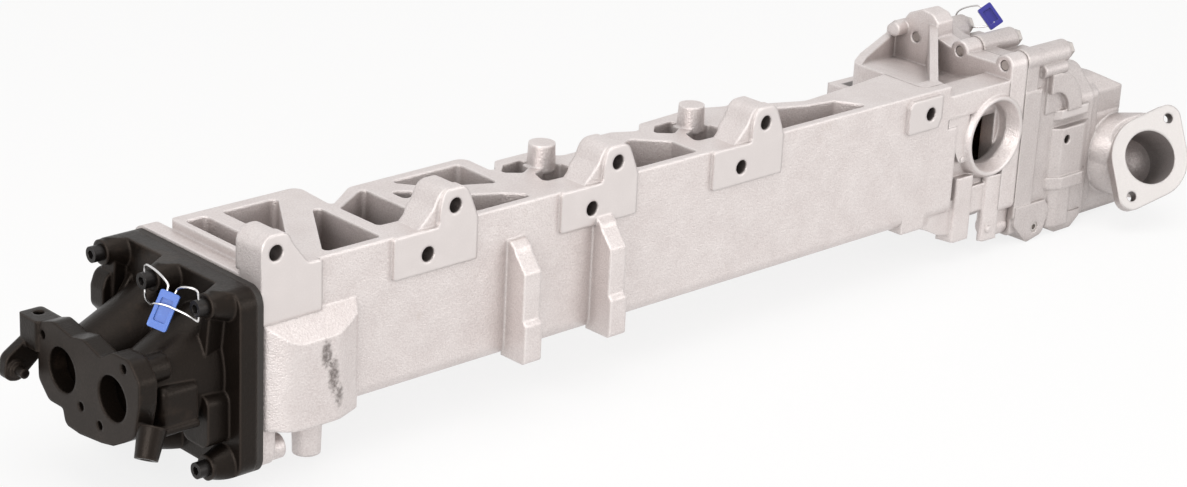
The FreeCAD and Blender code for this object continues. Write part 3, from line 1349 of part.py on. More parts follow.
def bent_wire(points, bend_r):
    """Return a round wire that runs straight between points and bends smoothly at each of them."""
    edges = []
    last = points[0]
    for i in range(1, len(points) - 1):
        back = points[i - 1] - points[i]
        ahead = points[i + 1] - points[i]
        half = back.getAngle(ahead) / 2.0
        reach = min(bend_r / math.tan(half), 0.45 * back.Length, 0.45 * ahead.Length)
        radius = reach * math.tan(half)
        back.normalize()
        ahead.normalize()
        bisector = back + ahead
        bisector.normalize()
        center = points[i] + bisector * (radius / math.sin(half))
        start = points[i] + back * reach
        end = points[i] + ahead * reach
        edges.append(Part.LineSegment(last, start).toShape())
        edges.append(Part.Arc(start, center - bisector * radius, end).toShape())
        last = end
    edges.append(Part.LineSegment(last, points[-1]).toShape())
    path = Part.Wire(edges)
    profile = Part.Wire(Part.Circle(points[0], points[1] - points[0], wire_r).toShape())
    return path.makePipeShell([profile], True, False)


def tag_axes(lean_deg):
    """Return the width, length and thickness directions of a tag that hangs facing the front left."""
    turn = math.radians(tag_turn_deg)
    tilt = math.radians(tag_tilt_deg)
    normal = vec(-math.sin(turn) * math.cos(tilt), -math.cos(turn) * math.cos(tilt), math.sin(tilt))
    level = vec(math.cos(turn), -math.sin(turn), 0.0)
    rising = level.cross(normal) * -1.0
    lean = math.radians(lean_deg)
    width = level * math.cos(lean) - rising * math.sin(lean)
    length = level * math.sin(lean) + rising * math.cos(lean)
    return width, length, normal


def tag(center, lean_deg, size):
    """Return one plastic tag with chamfered rims, round its centre."""
    width, length, normal = tag_axes(lean_deg)
    half_w, half_l, half_t = [value / 2.0 for value in size]
    corners = [center - width * half_w - length * half_l - normal * half_t,
               center + width * half_w - length * half_l - normal * half_t,
               center + width * half_w + length * half_l - normal * half_t,
               center - width * half_w + length * half_l - normal * half_t]
    body = plate(corners, 1.5, normal * (2.0 * half_t))
    window = plate([center + (corner - center) * 0.62 + normal * (half_t * 0.62) for corner in corners], 1.0,
                   normal * half_t)
    return body.cut(window)


def inlet_wire():
    """Return the locking wire through both drilled heads and the tag of the inlet manifold."""
    width, length, normal = tag_axes(inlet_tag_lean)
    x = inlet_wire_x
    z = inlet_wire_z
    grip = inlet_tag_center + length * (inlet_tag_size[1] / 2.0 - 4.0)
    left_y = inlet_screw_y[1]
    right_y = inlet_screw_y[0]
    return bent_wire([
        grip - width * 2.5, grip - width * 3.5 + length * 9.0, vec(x - 8.0, left_y - 20.0, z + 18.0),
        vec(x - 2.0, left_y - 3.0, z + 20.0), vec(x, left_y, z + 9.0), vec(x, left_y, z - 10.0),
        vec(x - 5.0, left_y - 4.0, z - 14.0), vec(x - 13.0, left_y - 20.0, z - 6.0),
        vec(x - 17.5, left_y - 36.0, z + 1.0), inlet_tag_center + normal * 4.2 + vec(4.0, -7.0, 3.0),
        vec(x - 5.0, right_y + 2.0, z - 8.0), vec(x, right_y, z - 12.0), vec(x, right_y, z + 12.0),
        vec(x - 3.0, right_y + 2.5, z + 16.0), grip + width * 3.0 + length * 8.0, grip + width * 2.5,
    ], 7.0)


def outlet_wire():
    """Return the locking wire through the rear screw head and the tag of the outlet housing."""
    width, length, normal = tag_axes(outlet_tag_lean)
    x = outlet_wire_x
    y = joint_screw_y[-1]
    z = joint_top_z
    upper = outlet_tag_center + length * (outlet_tag_size[1] / 2.0 - 4.0)
    lower = outlet_tag_center - length * (outlet_tag_size[1] / 2.0 - 4.0)
    return bent_wire([
        upper, upper + vec(-2.0, 14.0, 4.0), vec(x + 1.0, y + 15.0, z + 5.0), vec(x, y + 10.0, z),
        vec(x, y - 12.0, z), lower + vec(4.0, 4.0, -3.0), lower,
    ], 4.0)


def seal_tag_inlet():
    """Return the blue tag on the inlet manifold, with the hole that grips its wire."""
    return tag(inlet_tag_center, inlet_tag_lean, inlet_tag_size).cut(inlet_wire())


def seal_tag_outlet():
    """Return the blue tag on the outlet housing, with the hole that grips its wire."""
    return tag(outlet_tag_center, outlet_tag_lean, outlet_tag_size).cut(outlet_wire())


def main():
    """Build every sub-part and write one file for each."""
    os.makedirs("parts", exist_ok=True)
    nodes = {
        "cooler_housing": cooler_housing(),
        "coolant_gasket": coolant_gasket(),
        "front_header_plate": front_header_plate(),
        "inlet_gasket": inlet_gasket(),
        "inlet_manifold": inlet_manifold(),
        "inlet_screws": inlet_screws(),
        "inlet_dowels": inlet_dowels(),
        "gas_tubes": gas_tubes(),
        "baffle_plates": baffle_plates(),
        "rear_header_plate": rear_header_plate(),
        "gas_collector": gas_collector(),
        "expansion_bellows": expansion_bellows(),
        "bellows_flange": bellows_flange(),
        "gas_seal_ring": gas_seal_ring(),
        "outlet_housing_gasket": outlet_gasket(housing_x1, outlet_x0),
        "outlet_housing": outlet_housing(),
        "outlet_housing_screws": outlet_housing_screws(),
        "outlet_lower_screws": outlet_lower_screws(),
        "outlet_dowels": outlet_dowels(),
        "end_cover_gasket": end_cover_gasket(),
        "end_cover": end_cover(),
        "end_cover_screws": end_cover_screws(),
        "drain_plug": drain_plug(),
        "seal_wire_inlet": inlet_wire(),
        "seal_tag_inlet": seal_tag_inlet(),
        "seal_wire_outlet": outlet_wire(),
        "seal_tag_outlet": seal_tag_outlet(),
    }
    middle = vec(-ear_pitch * (ear_count - 1) / 2.0, 0.0, 0.0)
    for name, shape in nodes.items():
        shape.translate(middle)
        print(name, len(shape.Solids), round(shape.Volume), shape.isValid())
        shape.exportStep("parts/" + name + ".step")


main()
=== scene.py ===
"""Looks of an exhaust gas cooler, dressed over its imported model.

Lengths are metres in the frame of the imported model: X runs along the housing, Y into its depth
and Z up, with the origin in the middle of the row of mounting ears, on the mounting plane.
"""

import logging
import math
from dataclasses import dataclass, field
from enum import Enum
from functools import lru_cache
from typing import ClassVar, Iterable, Optional, Union

import bpy
from mathutils import Matrix, Vector

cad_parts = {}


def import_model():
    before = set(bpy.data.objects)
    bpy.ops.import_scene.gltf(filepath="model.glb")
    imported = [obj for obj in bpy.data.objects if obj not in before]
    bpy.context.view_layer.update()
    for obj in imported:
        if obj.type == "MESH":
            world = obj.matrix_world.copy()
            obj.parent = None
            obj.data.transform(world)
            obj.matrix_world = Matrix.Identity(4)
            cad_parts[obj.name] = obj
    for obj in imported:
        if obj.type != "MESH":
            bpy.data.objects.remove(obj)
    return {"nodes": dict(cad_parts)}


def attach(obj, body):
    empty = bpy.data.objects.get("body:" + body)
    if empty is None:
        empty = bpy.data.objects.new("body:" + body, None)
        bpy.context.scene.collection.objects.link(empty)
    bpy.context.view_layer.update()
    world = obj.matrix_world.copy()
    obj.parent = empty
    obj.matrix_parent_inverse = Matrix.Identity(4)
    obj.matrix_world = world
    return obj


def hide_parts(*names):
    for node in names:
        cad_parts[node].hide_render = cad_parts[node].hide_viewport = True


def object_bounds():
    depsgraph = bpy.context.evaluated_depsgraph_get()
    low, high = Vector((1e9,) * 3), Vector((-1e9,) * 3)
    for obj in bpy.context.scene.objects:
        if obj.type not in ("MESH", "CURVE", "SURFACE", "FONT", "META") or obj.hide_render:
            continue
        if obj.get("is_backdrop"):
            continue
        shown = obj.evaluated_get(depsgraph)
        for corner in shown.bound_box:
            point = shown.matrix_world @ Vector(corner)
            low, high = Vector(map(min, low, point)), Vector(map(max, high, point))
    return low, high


LOG = logging.getLogger("gas_cooler")
BODY = "root"

Node = bpy.types.Node
NodeTree = bpy.types.NodeTree
Socket = bpy.types.NodeSocket
Material = bpy.types.Material
Range = tuple[float, float]
Triple = tuple[float, float, float]
Colour = Triple
Feed = Union[Socket, float, Colour, Vector]
Feeds = dict[Union[str, int], Feed]
Sockets = dict[str, Socket]

ORIGIN: Triple = (0.0, 0.0, 0.0)
OUTWARDS: Triple = (0.0, -1.0, 0.0)
SMALL: Triple = (0.01, 0.01, 0.01)
WHITE: Colour = (1.0, 1.0, 1.0)
NOISE_MEAN = 0.5
RAY_SAMPLES = 6
GIVES_NUMBER = ("DOT_PRODUCT", "LENGTH")


def from_screen(red: int, green: int, blue: int) -> Colour:
    """Turns a colour as a screen shows it into the linear colour that a shader takes.

    Args:
        red: Red from 0 to 255.
        green: Green from 0 to 255.
        blue: Blue from 0 to 255.

    Returns:
        The linear red, green and blue, from 0 to 1.
    """

    def linear(value: int) -> float:
        """Takes one channel through the screen's transfer curve."""
        share = value / 255
        return share / 12.92 if share <= 0.04045 else ((share + 0.055) / 1.055) ** 2.4

    return linear(red), linear(green), linear(blue)


def heading(yaw: float, pitch: float) -> Vector:
    """Works out a way in space.

    Args:
        yaw: Radians that it is turned from +Y towards +X.
        pitch: Radians that it points down.

    Returns:
        The way, one metre long.
    """
    flat = math.cos(pitch)
    return Vector((math.sin(yaw) * flat, math.cos(yaw) * flat, -math.sin(pitch)))


def to_the_right(yaw: float) -> Vector:
    """Returns the level way to the right of one turned from +Y towards +X by yaw radians."""
    return Vector((math.cos(yaw), -math.sin(yaw), 0.0))


class Recipe(Enum):
    """The shader groups that the finishes share, with the usual values of their inputs."""

    SAND_GRAIN = {"Grain": 650.0, "Swell": 45.0, "Pits": 0.3}
    ROUNDED_EDGE = {"Radius": 0.001}
    MACHINED_PLANE = {"Along": OUTWARDS, "Level": 0.0, "Reach": 0.0006}
    TURNED_RINGS = {"Centre": ORIGIN, "Pitch": 0.0008}
    STAINS = {"Scale": 18.0, "Amount": 0.5}
    LOCAL_SPOT = {"Centre": ORIGIN, "Half": SMALL}
    DRILLED_BORE = {
        "Centre": ORIGIN,
        "Along": OUTWARDS,
        "Radius": 0.006,
        "Depth": 0.03,
        "Fade": 0.003,
    }
    # Painted shade in corners and pockets, from an ambient occlusion node.
    PAINTED_CORNER_SHADE = {"Reach": 0.02}
    INNER_CHAMBER = {"Centre": ORIGIN, "Half": SMALL, "Softness": 0.1}


class Slot(Enum):
    """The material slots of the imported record."""

    ALUMINIUM = "cast_aluminium"
    IRON = "cast_iron"
    DARK_STEEL = "dark_steel"
    STEEL = "steel"
    STAINLESS = "stainless"
    GASKET = "gasket"
    PLAIN_GASKET = "plain_gasket"
    BLUE = "blue_plastic"
    VIOLET = "violet_plastic"


class Graph:
    """Adds nodes and links to one node tree."""

    def __init__(self, tree: NodeTree) -> None:
        """Keeps the tree.

        Args:
            tree: The node tree of a material or of a group.
        """
        self.tree = tree

    def node(self, kind: str, feeds: Optional[Feeds] = None, **settings: object) -> Node:
        """Adds a node.

        Args:
            kind: Blender's name of the node's type.
            feeds: What goes into its inputs, by their names or numbers.
            **settings: Values for the node's own properties.

        Returns:
            The new node.
        """
        made = self.tree.nodes.new(kind)
        for name, value in settings.items():
            setattr(made, name, value)
        self.fill(made, feeds or {})
        return made

    def fill(self, node: Node, feeds: Feeds) -> None:
        """Feeds several inputs of a node.

        Args:
            node: The node.
            feeds: What goes into its inputs, by their names or numbers.
        """
        for key, source in feeds.items():
            self.feed(node.inputs[key], source)

    def feed(self, target: Socket, source: Feed) -> None:
        """Links a socket into an input, or writes a plain value there.

        Args:
            target: The input.
            source: An output to link, or a number, colour or vector.
        """
        if isinstance(source, bpy.types.NodeSocket):
            self.tree.links.new(source, target)
        elif target.type == "RGBA" and not isinstance(source, (int, float)):
            target.default_value = (*tuple(source)[:3], 1.0)
        else:
            target.default_value = source

    def math(self, operation: str, *values: Feed, clamp: bool = False) -> Socket:
        """Adds a Math node.

        Args:
            operation: Blender's name of the operation.
            *values: The inputs, in order.
            clamp: Whether the result stays between 0 and 1.

        Returns:
            The node's output.
        """
        feeds = dict(enumerate(values))
        return self.node("ShaderNodeMath", feeds, operation=operation, use_clamp=clamp).outputs[0]

    def times(self, first: Feed, second: Feed) -> Socket:
        """Multiplies two numbers."""
        return self.math("MULTIPLY", first, second)

    def vector(self, operation: str, *values: Feed) -> Socket:
        """Adds a Vector Math node.

        Args:
            operation: Blender's name of the operation.
            *values: The inputs, in order.

        Returns:
            The node's vector, or its number where the operation gives one.
        """
        made = self.node("ShaderNodeVectorMath", dict(enumerate(values)), operation=operation)
        return made.outputs["Value" if operation in GIVES_NUMBER else "Vector"]

    def ramp(self, value: Feed, low: Feed, high: Feed, smooth: bool = True) -> Socket:
        """Maps a value to 0 at low and 1 at high.

        Args:
            value: What is mapped.
            low: The value that gives 0.
            high: The value that gives 1.
            smooth: Whether the ends ease in and out.

        Returns:
            The mapped value, from 0 to 1.
        """
        kind = "SMOOTHSTEP" if smooth else "LINEAR"
        feeds = {"Value": value, "From Min": low, "From Max": high}
        made = self.node("ShaderNodeMapRange", feeds, interpolation_type=kind, clamp=True)
        return made.outputs["Result"]

    def mix(self, share: Feed, first: Feed, second: Feed, numbers: bool = False) -> Socket:
        """Mixes two colours or two numbers.

        Args:
            share: How much of the second one there is.
            first: The first colour or number.
            second: The second one.
            numbers: Whether they are numbers.

        Returns:
            The mix.
        """
        kind, one, other, out = ("FLOAT", 2, 3, 0) if numbers else ("RGBA", 6, 7, 2)
        feeds = {"Factor": share, one: first, other: second}
        return self.node("ShaderNodeMix", feeds, data_type=kind, clamp_factor=True).outputs[out]

    def layer(self, under: Feed, mask: Feed, share: float, over: Feed) -> Socket:
        """Lays a colour over another one where a mask is.

        Args:
            under: The colour below.
            mask: Where the layer lies.
            share: How much of it shows there.
            over: The layer's colour.

        Returns:
            The colour with the layer.
        """
        return self.mix(self.times(mask, share), under, over)

    def sway(self, tone: Feed, amount: float, base: Feed) -> Socket:
        """Makes a number go up and down with a tone.

        Args:
            tone: A tone or noise, about 0.5 on average.
            amount: How strongly the number follows it.
            base: The number's mean.

        Returns:
            The number with its ups and downs.
        """
        return self.math("MULTIPLY_ADD", self.math("SUBTRACT", tone, NOISE_MEAN), amount, base)

    def place(self) -> Socket:
        """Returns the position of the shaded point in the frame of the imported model."""
        return self.node("ShaderNodeTexCoord").outputs["Object"]

    def noise(self, scale: Feed, detail: float = 2.0) -> Socket:
        """Adds a noise texture.

        Args:
            scale: Cells in a metre.
            detail: How many finer layers it has.

        Returns:
            The noise, about 0.5 on average.
        """
        feeds = {"Vector": self.place(), "Scale": scale, "Detail": detail}
        return self.node("ShaderNodeTexNoise", feeds).outputs["Fac"]

    def use(self, recipe: Recipe, **values: Feed) -> Sockets:
        """Places a shared group, which is built when it is first asked for.

        Args:
            recipe: Which group.
            **values: The group's inputs, by their names in small letters.

        Returns:
            The group's outputs by name.
        """
        tree = bpy.data.node_groups.get(recipe.name.lower()) or SharedGroup(recipe).tree
        feeds: Feeds = {name.capitalize(): value for name, value in values.items()}
        return dict(self.node("ShaderNodeGroup", feeds, node_tree=tree).outputs.items())


class SharedGroup(Graph):
    """A shader group that several materials use."""

    CELL_HEIGHT = 0.5
    SWELL_HEIGHT = 2.5
    PIT_SPACING = 0.4
    PIT_TONE = 0.4
    QUICK_STAINS = 9.0
    STAIN_START = 0.78
    STAIN_SPREAD = 0.4
    STAIN_SOFTNESS = 0.16
    RING_PATCHES = 90.0
    BORE_LIP = 0.0002

    def __init__(self, recipe: Recipe) -> None:
        """Builds the group with the method that is named like its recipe.

        Args:
            recipe: Which group.
        """
        name = recipe.name.lower()
        super().__init__(bpy.data.node_groups.new(name, "ShaderNodeTree"))
        for title, value in recipe.value.items():
            self.add_socket(title, "INPUT", isinstance(value, tuple)).default_value = value
        source = self.node("NodeGroupInput")
        self.given: Sockets = {title: source.outputs[title] for title in recipe.value}
        results: Sockets = getattr(self, name)()
        for title, result in results.items():
            self.add_socket(title, "OUTPUT", result.type == "VECTOR")
        self.node("NodeGroupOutput", results)

    def add_socket(
        self, title: str, side: str, vector: bool
    ) -> bpy.types.NodeTreeInterfaceSocket:
        """Adds an input or an output to the group, for a vector or for a number."""
        kind = "NodeSocketVector" if vector else "NodeSocketFloat"
        return self.tree.interface.new_socket(title, in_out=side, socket_type=kind)

    def sand_grain(self) -> Sockets:
        """Makes the skin that a sand mould leaves: packed grains, pits and a slow swell.

        Returns:
            The height and the tone of the skin.
        """
        grain = self.given["Grain"]
        fine = self.noise(grain, detail=3.0)
        feeds = {"Vector": self.place(), "Scale": grain}
        cells = self.node("ShaderNodeTexVoronoi", feeds, feature="F1")
        grains = self.math("MULTIPLY_ADD", cells.outputs["Distance"], self.CELL_HEIGHT, fine)
        swell = self.noise(self.given["Swell"], detail=3.0)
        coarse = self.noise(self.times(grain, self.PIT_SPACING))
        deep = self.ramp(coarse, low=0.64, high=0.74)
        pits = self.times(deep, self.given["Pits"])
        height = self.math("MULTIPLY_ADD", swell, self.SWELL_HEIGHT, grains)
        tone = self.sway(fine, amount=0.9, base=self.sway(swell, amount=0.5, base=0.5))
        tone = self.math("SUBTRACT", tone, self.times(pits, self.PIT_TONE), clamp=True)
        return {"Height": self.math("SUBTRACT", height, pits), "Tone": tone}

    def rounded_edge(self) -> Sockets:
        """Makes the softened edges of a casting or a machined piece.

        Returns:
            The rounded normal and a mask of the edges.
        """
        feeds = {"Radius": self.given["Radius"]}
        soft = self.node("ShaderNodeBevel", feeds, samples=RAY_SAMPLES).outputs["Normal"]
        plain = self.node("ShaderNodeNewGeometry").outputs["Normal"]
        along = self.vector("DOT_PRODUCT", soft, plain)
        return {"Normal": soft, "Edge": self.ramp(along, low=0.995, high=0.86)}

    def painted_corner_shade(self) -> Sockets:
        """Makes the mask of the painted shade in a casting's corners and pockets.

        Returns:
            A mask, which is 1 deep in a corner and 0 on open faces.
        """
        feeds = {"Distance": self.given["Reach"]}
        nearby = self.node("ShaderNodeAmbientOcclusion", feeds, samples=RAY_SAMPLES)
        return {"Mask": self.ramp(nearby.outputs["AO"], low=0.92, high=0.3)}

    def machined_plane(self) -> Sockets:
        """Makes the mask of the faces milled flat on one plane, from its direction and level.

        Returns:
            A mask, which is 1 on those faces and 0 on the others.
        """
        along = self.given["Along"]
        normal = self.node("ShaderNodeNewGeometry").outputs["True Normal"]
        facing = self.vector("DOT_PRODUCT", normal, along)
        height = self.vector("DOT_PRODUCT", self.place(), along)
        away = self.math("ABSOLUTE", self.math("SUBTRACT", height, self.given["Level"]))
        near = self.math("LESS_THAN", away, self.given["Reach"])
        return {"Mask": self.times(self.ramp(facing, low=0.985, high=0.998), near)}

    def turned_rings(self) -> Sockets:
        """Makes the fine rings that a turning or facing tool leaves about one point.

        Returns:
            The height of the rings.
        """
        away = self.vector("LENGTH", self.offset())
        turns = self.math("DIVIDE", away, self.given["Pitch"])
        wave = self.math("SINE", self.times(turns, math.tau))
        patchy = self.ramp(self.noise(self.RING_PATCHES), low=0.3, high=0.7)
        return {"Height": self.times(wave, patchy)}

    def stains(self) -> Sockets:
        """Makes slow patches and short streaks of dirt or oxide.

        Returns:
            A mask of the stains.
        """
        slow = self.noise(self.given["Scale"], detail=5.0)
        quick = self.times(self.given["Scale"], self.QUICK_STAINS)
        quick = self.noise(quick, detail=3.0)
        both = self.sway(quick, amount=0.45, base=slow)
        spread = self.times(self.given["Amount"], self.STAIN_SPREAD)
        edge = self.math("SUBTRACT", self.STAIN_START, spread)
        return {"Mask": self.ramp(both, edge, self.math("ADD", edge, self.STAIN_SOFTNESS))}

    def local_spot(self) -> Sockets:
        """Makes a soft round or stretched spot at one place.

        Returns:
            A mask, which is 1 in the middle of the spot and 0 outside it.
        """
        share = self.vector("DIVIDE", self.offset(), self.given["Half"])
        away = self.vector("LENGTH", share)
        return {"Mask": self.ramp(away, low=1.0, high=0.25)}

    def drilled_bore(self) -> Sockets:
        """Makes the mask of the inside of a round hole.

        Returns:
            A mask, which rises with the depth below the mouth.
        """
        offset = self.offset()
        height = self.vector("DOT_PRODUCT", offset, self.given["Along"])
        length = self.vector("LENGTH", offset)
        squares = [self.math("POWER", side, 2.0) for side in (length, height)]
        across = self.math("SQRT", self.math("SUBTRACT", *squares))
        inside = self.math("LESS_THAN", across, self.given["Radius"])
        below = self.times(height, -1.0)
        within = self.math("LESS_THAN", below, self.given["Depth"])
        deep = self.ramp(below, self.BORE_LIP, self.given["Fade"])
        return {"Mask": self.times(self.times(inside, within), deep)}

    def inner_chamber(self) -> Sockets:
        """Makes the mask of the walls inside a box, such as a pocket or a closed chamber.

        Returns:
            A mask, which is 1 inside the box and 0 outside it.
        """
        share = self.vector("DIVIDE", self.offset(), self.given["Half"])
        parts = self.node("ShaderNodeSeparateXYZ", {0: self.vector("ABSOLUTE", share)})
        wide = self.math("MAXIMUM", parts.outputs["X"], parts.outputs["Y"])
        most = self.math("MAXIMUM", wide, parts.outputs["Z"])
        inner = self.math("SUBTRACT", 1.0, self.given["Softness"])
        return {"Mask": self.ramp(most, low=1.0, high=inner)}

    def offset(self) -> Socket:
        """Returns the way from the group's centre to the point that is shaded."""
        return self.vector("SUBTRACT", self.place(), self.given["Centre"])


class MaterialGraph(Graph):
    """The graph of a new material with one Principled shader."""

    def __init__(self, name: str) -> None:
        """Makes the material.

        Args:
            name: The material's name.
        """
        self.material = bpy.data.materials.new(name)
        self.material.use_nodes = True
        super().__init__(self.material.node_tree)
        self.tree.nodes.clear()
        self.shader = self.node("ShaderNodeBsdfPrincipled")
        feeds = {"Surface": self.shader.outputs["BSDF"]}
        self.out = self.node("ShaderNodeOutputMaterial", feeds)

    def relief(self, depth: float, height: Feed, normal: Feed) -> None:
        """Gives the shader its bumps.

        Args:
            depth: Height of the bumps in metres.
            height: Their shape.
            normal: The normal that they stand on.
        """
        feeds = {"Distance": depth, "Height": height, "Normal": normal}
        bump = self.node("ShaderNodeBump", feeds)
        self.feed(self.shader.inputs["Normal"], bump.outputs["Normal"])


@dataclass(frozen=True)
class Region:
    """A place on a casting that a shader group masks.

    Attributes:
        recipe: The group, whose inputs are named like the fields that feed them.
    """

    recipe: ClassVar[Recipe]

    def mask(self, graph: Graph) -> Socket:
        """Returns the mask of the place in a material's graph."""
        names = (title.lower() for title in self.recipe.value)
        return graph.use(self.recipe, **{name: getattr(self, name) for name in names})["Mask"]


@dataclass(frozen=True)
class Plane(Region):
    """A plane on which a casting was milled flat.

    Attributes:
        along: The way that the milled faces look.
        level: How far the plane lies from the origin along that way.
        reach: How far from the plane a face may lie.
    """

    recipe = Recipe.MACHINED_PLANE
    along: Triple
    level: float
    reach: float = 0.0006


@dataclass(frozen=True)
class Spot(Region):
    """A dark mark on one place of a casting.

    Attributes:
        centre: Its middle.
        half: Half its size along each axis.
        colour: Its colour.
        share: How much of the mark covers the skin.
    """

    recipe = Recipe.LOCAL_SPOT
    centre: Triple
    half: Triple
    colour: Colour
    share: float


@dataclass(frozen=True)
class Bore(Region):
    """A round hole whose inside gets painted shade, darker than the skin round it.

    Attributes:
        centre: Middle of its mouth.
        along: The way that the mouth looks.
        radius: Its radius, with a little to spare.
        depth: How deep it goes.
        fade: Depth at which it is as dark as it gets.
        share: How dark that is.
    """

    recipe = Recipe.DRILLED_BORE
    centre: Triple
    along: Triple = OUTWARDS
    radius: float = 0.0062
    depth: float = 0.06
    fade: float = 0.003
    share: float = 0.85


@dataclass(frozen=True)
class Chamber(Region):
    """A hollow whose walls get painted shade, darker than the skin outside.

    Attributes:
        centre: Its middle.
        half: Half its size along each axis.
        share: How dark it is.
        softness: Share of its half size over which the dark fades out.
    """

    recipe = Recipe.INNER_CHAMBER
    centre: Triple
    half: Triple
    share: float = 0.85
    softness: float = 0.05


@dataclass(frozen=True)
class CastFinish:
    """A sand casting with milled faces.

    Attributes:
        name: The material's name.
        skin: Colour of the cast skin.
        shade: Colour of the pits and the darker grains.
        milled: Colour of the milled faces.
        worn: Colour of the worn edges; lighter on aluminium, partly wear, partly painted
            highlight.
        stain: Colour of the stains.
        metallic: Metallic value of the skin.
        specular: Strength of the mirror part where the skin isn't metal.
        gloss_tint: Colour of that mirror part.
        roughness: Roughness of the skin.
        roughness_swing: How far it goes up and down with the grain.
        milled_roughness: Roughness of the milled faces.
        skin_tones: Tones of the grain that show the shade and the skin.
        milled_tones: Tones at which a milled face would be bare and worn.
        grain: Sand grains in a metre.
        depth: Height of the grains.
        pits: Depth of the pits, as a share of the grains.
        edge_radius: Radius that the edges look rounded by.
        edge_share: How much the worn colour, and its painted highlight, shows on the edges.
        stain_amount: How much of the surface is stained.
        stain_share: How much a stain shows.
        tool_centre: The middle of the rings that the milling cutter left.
        ring_depth: Height of the rings, as a share of the grains.
        planes: The milled planes.
        spots: The dark marks.
        mark_scale: Cells in a metre of the noise that breaks the marks up.
        dark: Colour of the painted shade deep inside the holes and chambers.
        painted_shade_hollows: The holes and chambers that get painted shade.
        corner: Colour of the painted shade in the corners and pockets.
        painted_shade_reach: How far the painted shade reaches from a corner.
        painted_shade_share: How much the painted shade shows.
    """

    name: str
    skin: Colour
    shade: Colour
    milled: Colour
    worn: Colour
    stain: Colour
    metallic: float = 0.7
    specular: float = 0.4
    gloss_tint: Colour = WHITE
    roughness: float = 0.46
    roughness_swing: float = 0.25
    milled_roughness: float = 0.38
    skin_tones: Range = (0.2, 0.72)
    milled_tones: Range = (0.3, 2.2)
    grain: float = 760.0
    depth: float = 0.0003
    pits: float = 0.3
    edge_radius: float = 0.003
    edge_share: float = 0.6
    stain_amount: float = 0.25
    stain_share: float = 0.5
    tool_centre: Triple = (0.0, 0.0, -0.9)
    ring_depth: float = 0.06
    planes: tuple[Plane, ...] = ()
    spots: tuple[Spot, ...] = ()
    mark_scale: float = 420.0
    # Painted shade: the colours and sizes of the shade painted into holes, chambers, corners and
    # pockets.
    dark: Colour = (0.035, 0.028, 0.025)
    painted_shade_hollows: tuple[Union[Bore, Chamber], ...] = ()
    corner: Colour = from_screen(116, 106, 102)
    painted_shade_reach: float = 0.016
    painted_shade_share: float = 0.42

    def milled_mask(self, graph: Graph) -> Feed:
        """Adds up the masks of the milled planes.

        Args:
            graph: The material's graph.

        Returns:
            1 on the milled faces and 0 on the cast skin.
        """
        total: Feed = 0.0
        for plane in self.planes:
            total = graph.math("MAXIMUM", plane.mask(graph), total)
        return total

    def spotted(self, graph: Graph, colour: Socket, grain: Socket) -> Socket:
        """Lays the dark marks over a colour.

        Args:
            graph: The material's graph.
            colour: The colour under the marks.
            grain: The tone of the grains, which breaks the marks up.

        Returns:
            The colour with the marks.
        """
        coarse = graph.noise(self.mark_scale, detail=4.0)
        for spot in self.spots:
            rough = graph.sway(grain, amount=0.5, base=spot.mask(graph))
            rough = graph.sway(coarse, amount=1.3, base=rough)
            broken = graph.ramp(rough, low=0.3, high=1.25)
            colour = graph.layer(colour, broken, spot.share, spot.colour)
        return colour

    def painted_shade_mask(self, graph: Graph) -> Feed:
        """Adds up the masks of the painted shade in the holes and chambers.

        Args:
            graph: The material's graph.

        Returns:
            How strong the painted shade is, from 0 to 1.
        """
        total: Feed = 0.0
        for place in self.painted_shade_hollows:
            dark = graph.times(place.mask(graph), place.share)
            total = graph.math("MAXIMUM", dark, total)
        return total

    def material(self) -> Material:
        """Builds the material.

        Returns:
            The new material.
        """
        graph = MaterialGraph(self.name)
        grain = graph.use(Recipe.SAND_GRAIN, grain=self.grain, pits=self.pits)
        edge = graph.use(Recipe.ROUNDED_EDGE, radius=self.edge_radius)
        stains = graph.use(Recipe.STAINS, amount=self.stain_amount)
        corners = graph.use(Recipe.PAINTED_CORNER_SHADE, reach=self.painted_shade_reach)
        rings = graph.use(Recipe.TURNED_RINGS, centre=self.tool_centre)
        tone = grain["Tone"]
        milled = self.milled_mask(graph)
        shown = graph.ramp(tone, *self.skin_tones, smooth=False)
        colour = graph.mix(shown, self.shade, self.skin)
        colour = graph.layer(colour, stains["Mask"], self.stain_share, self.stain)
        # Worn edges; on the aluminium castings the lighter edge colour is also a painted
        # highlight.
        colour = graph.layer(colour, edge["Edge"], self.edge_share, self.worn)
        colour = self.spotted(graph, colour, tone)
        tooled = graph.mix(graph.ramp(tone, *self.milled_tones), self.milled, self.worn)
        colour = graph.mix(milled, colour, tooled)
        # Painted shade: darker inside the holes, the pockets and the ring chamber.
        colour = graph.mix(self.painted_shade_mask(graph), colour, self.dark)
        # Painted shade: the colour turns darker in the corners and pockets.
        colour = graph.layer(colour, corners["Mask"], self.painted_shade_share, self.corner)
        rough = graph.sway(tone, -self.roughness_swing, self.roughness)
        feeds = {
            "Base Color": colour,
            "Roughness": graph.mix(milled, rough, self.milled_roughness, numbers=True),
            "Metallic": self.metallic,
            "Specular IOR Level": self.specular,
            "Specular Tint": self.gloss_tint,
        }
        graph.fill(graph.shader, feeds)
        tooling = graph.times(rings["Height"], self.ring_depth)
        height = graph.mix(milled, grain["Height"], tooling, numbers=True)
        graph.relief(self.depth, height, edge["Normal"])
        return graph.material


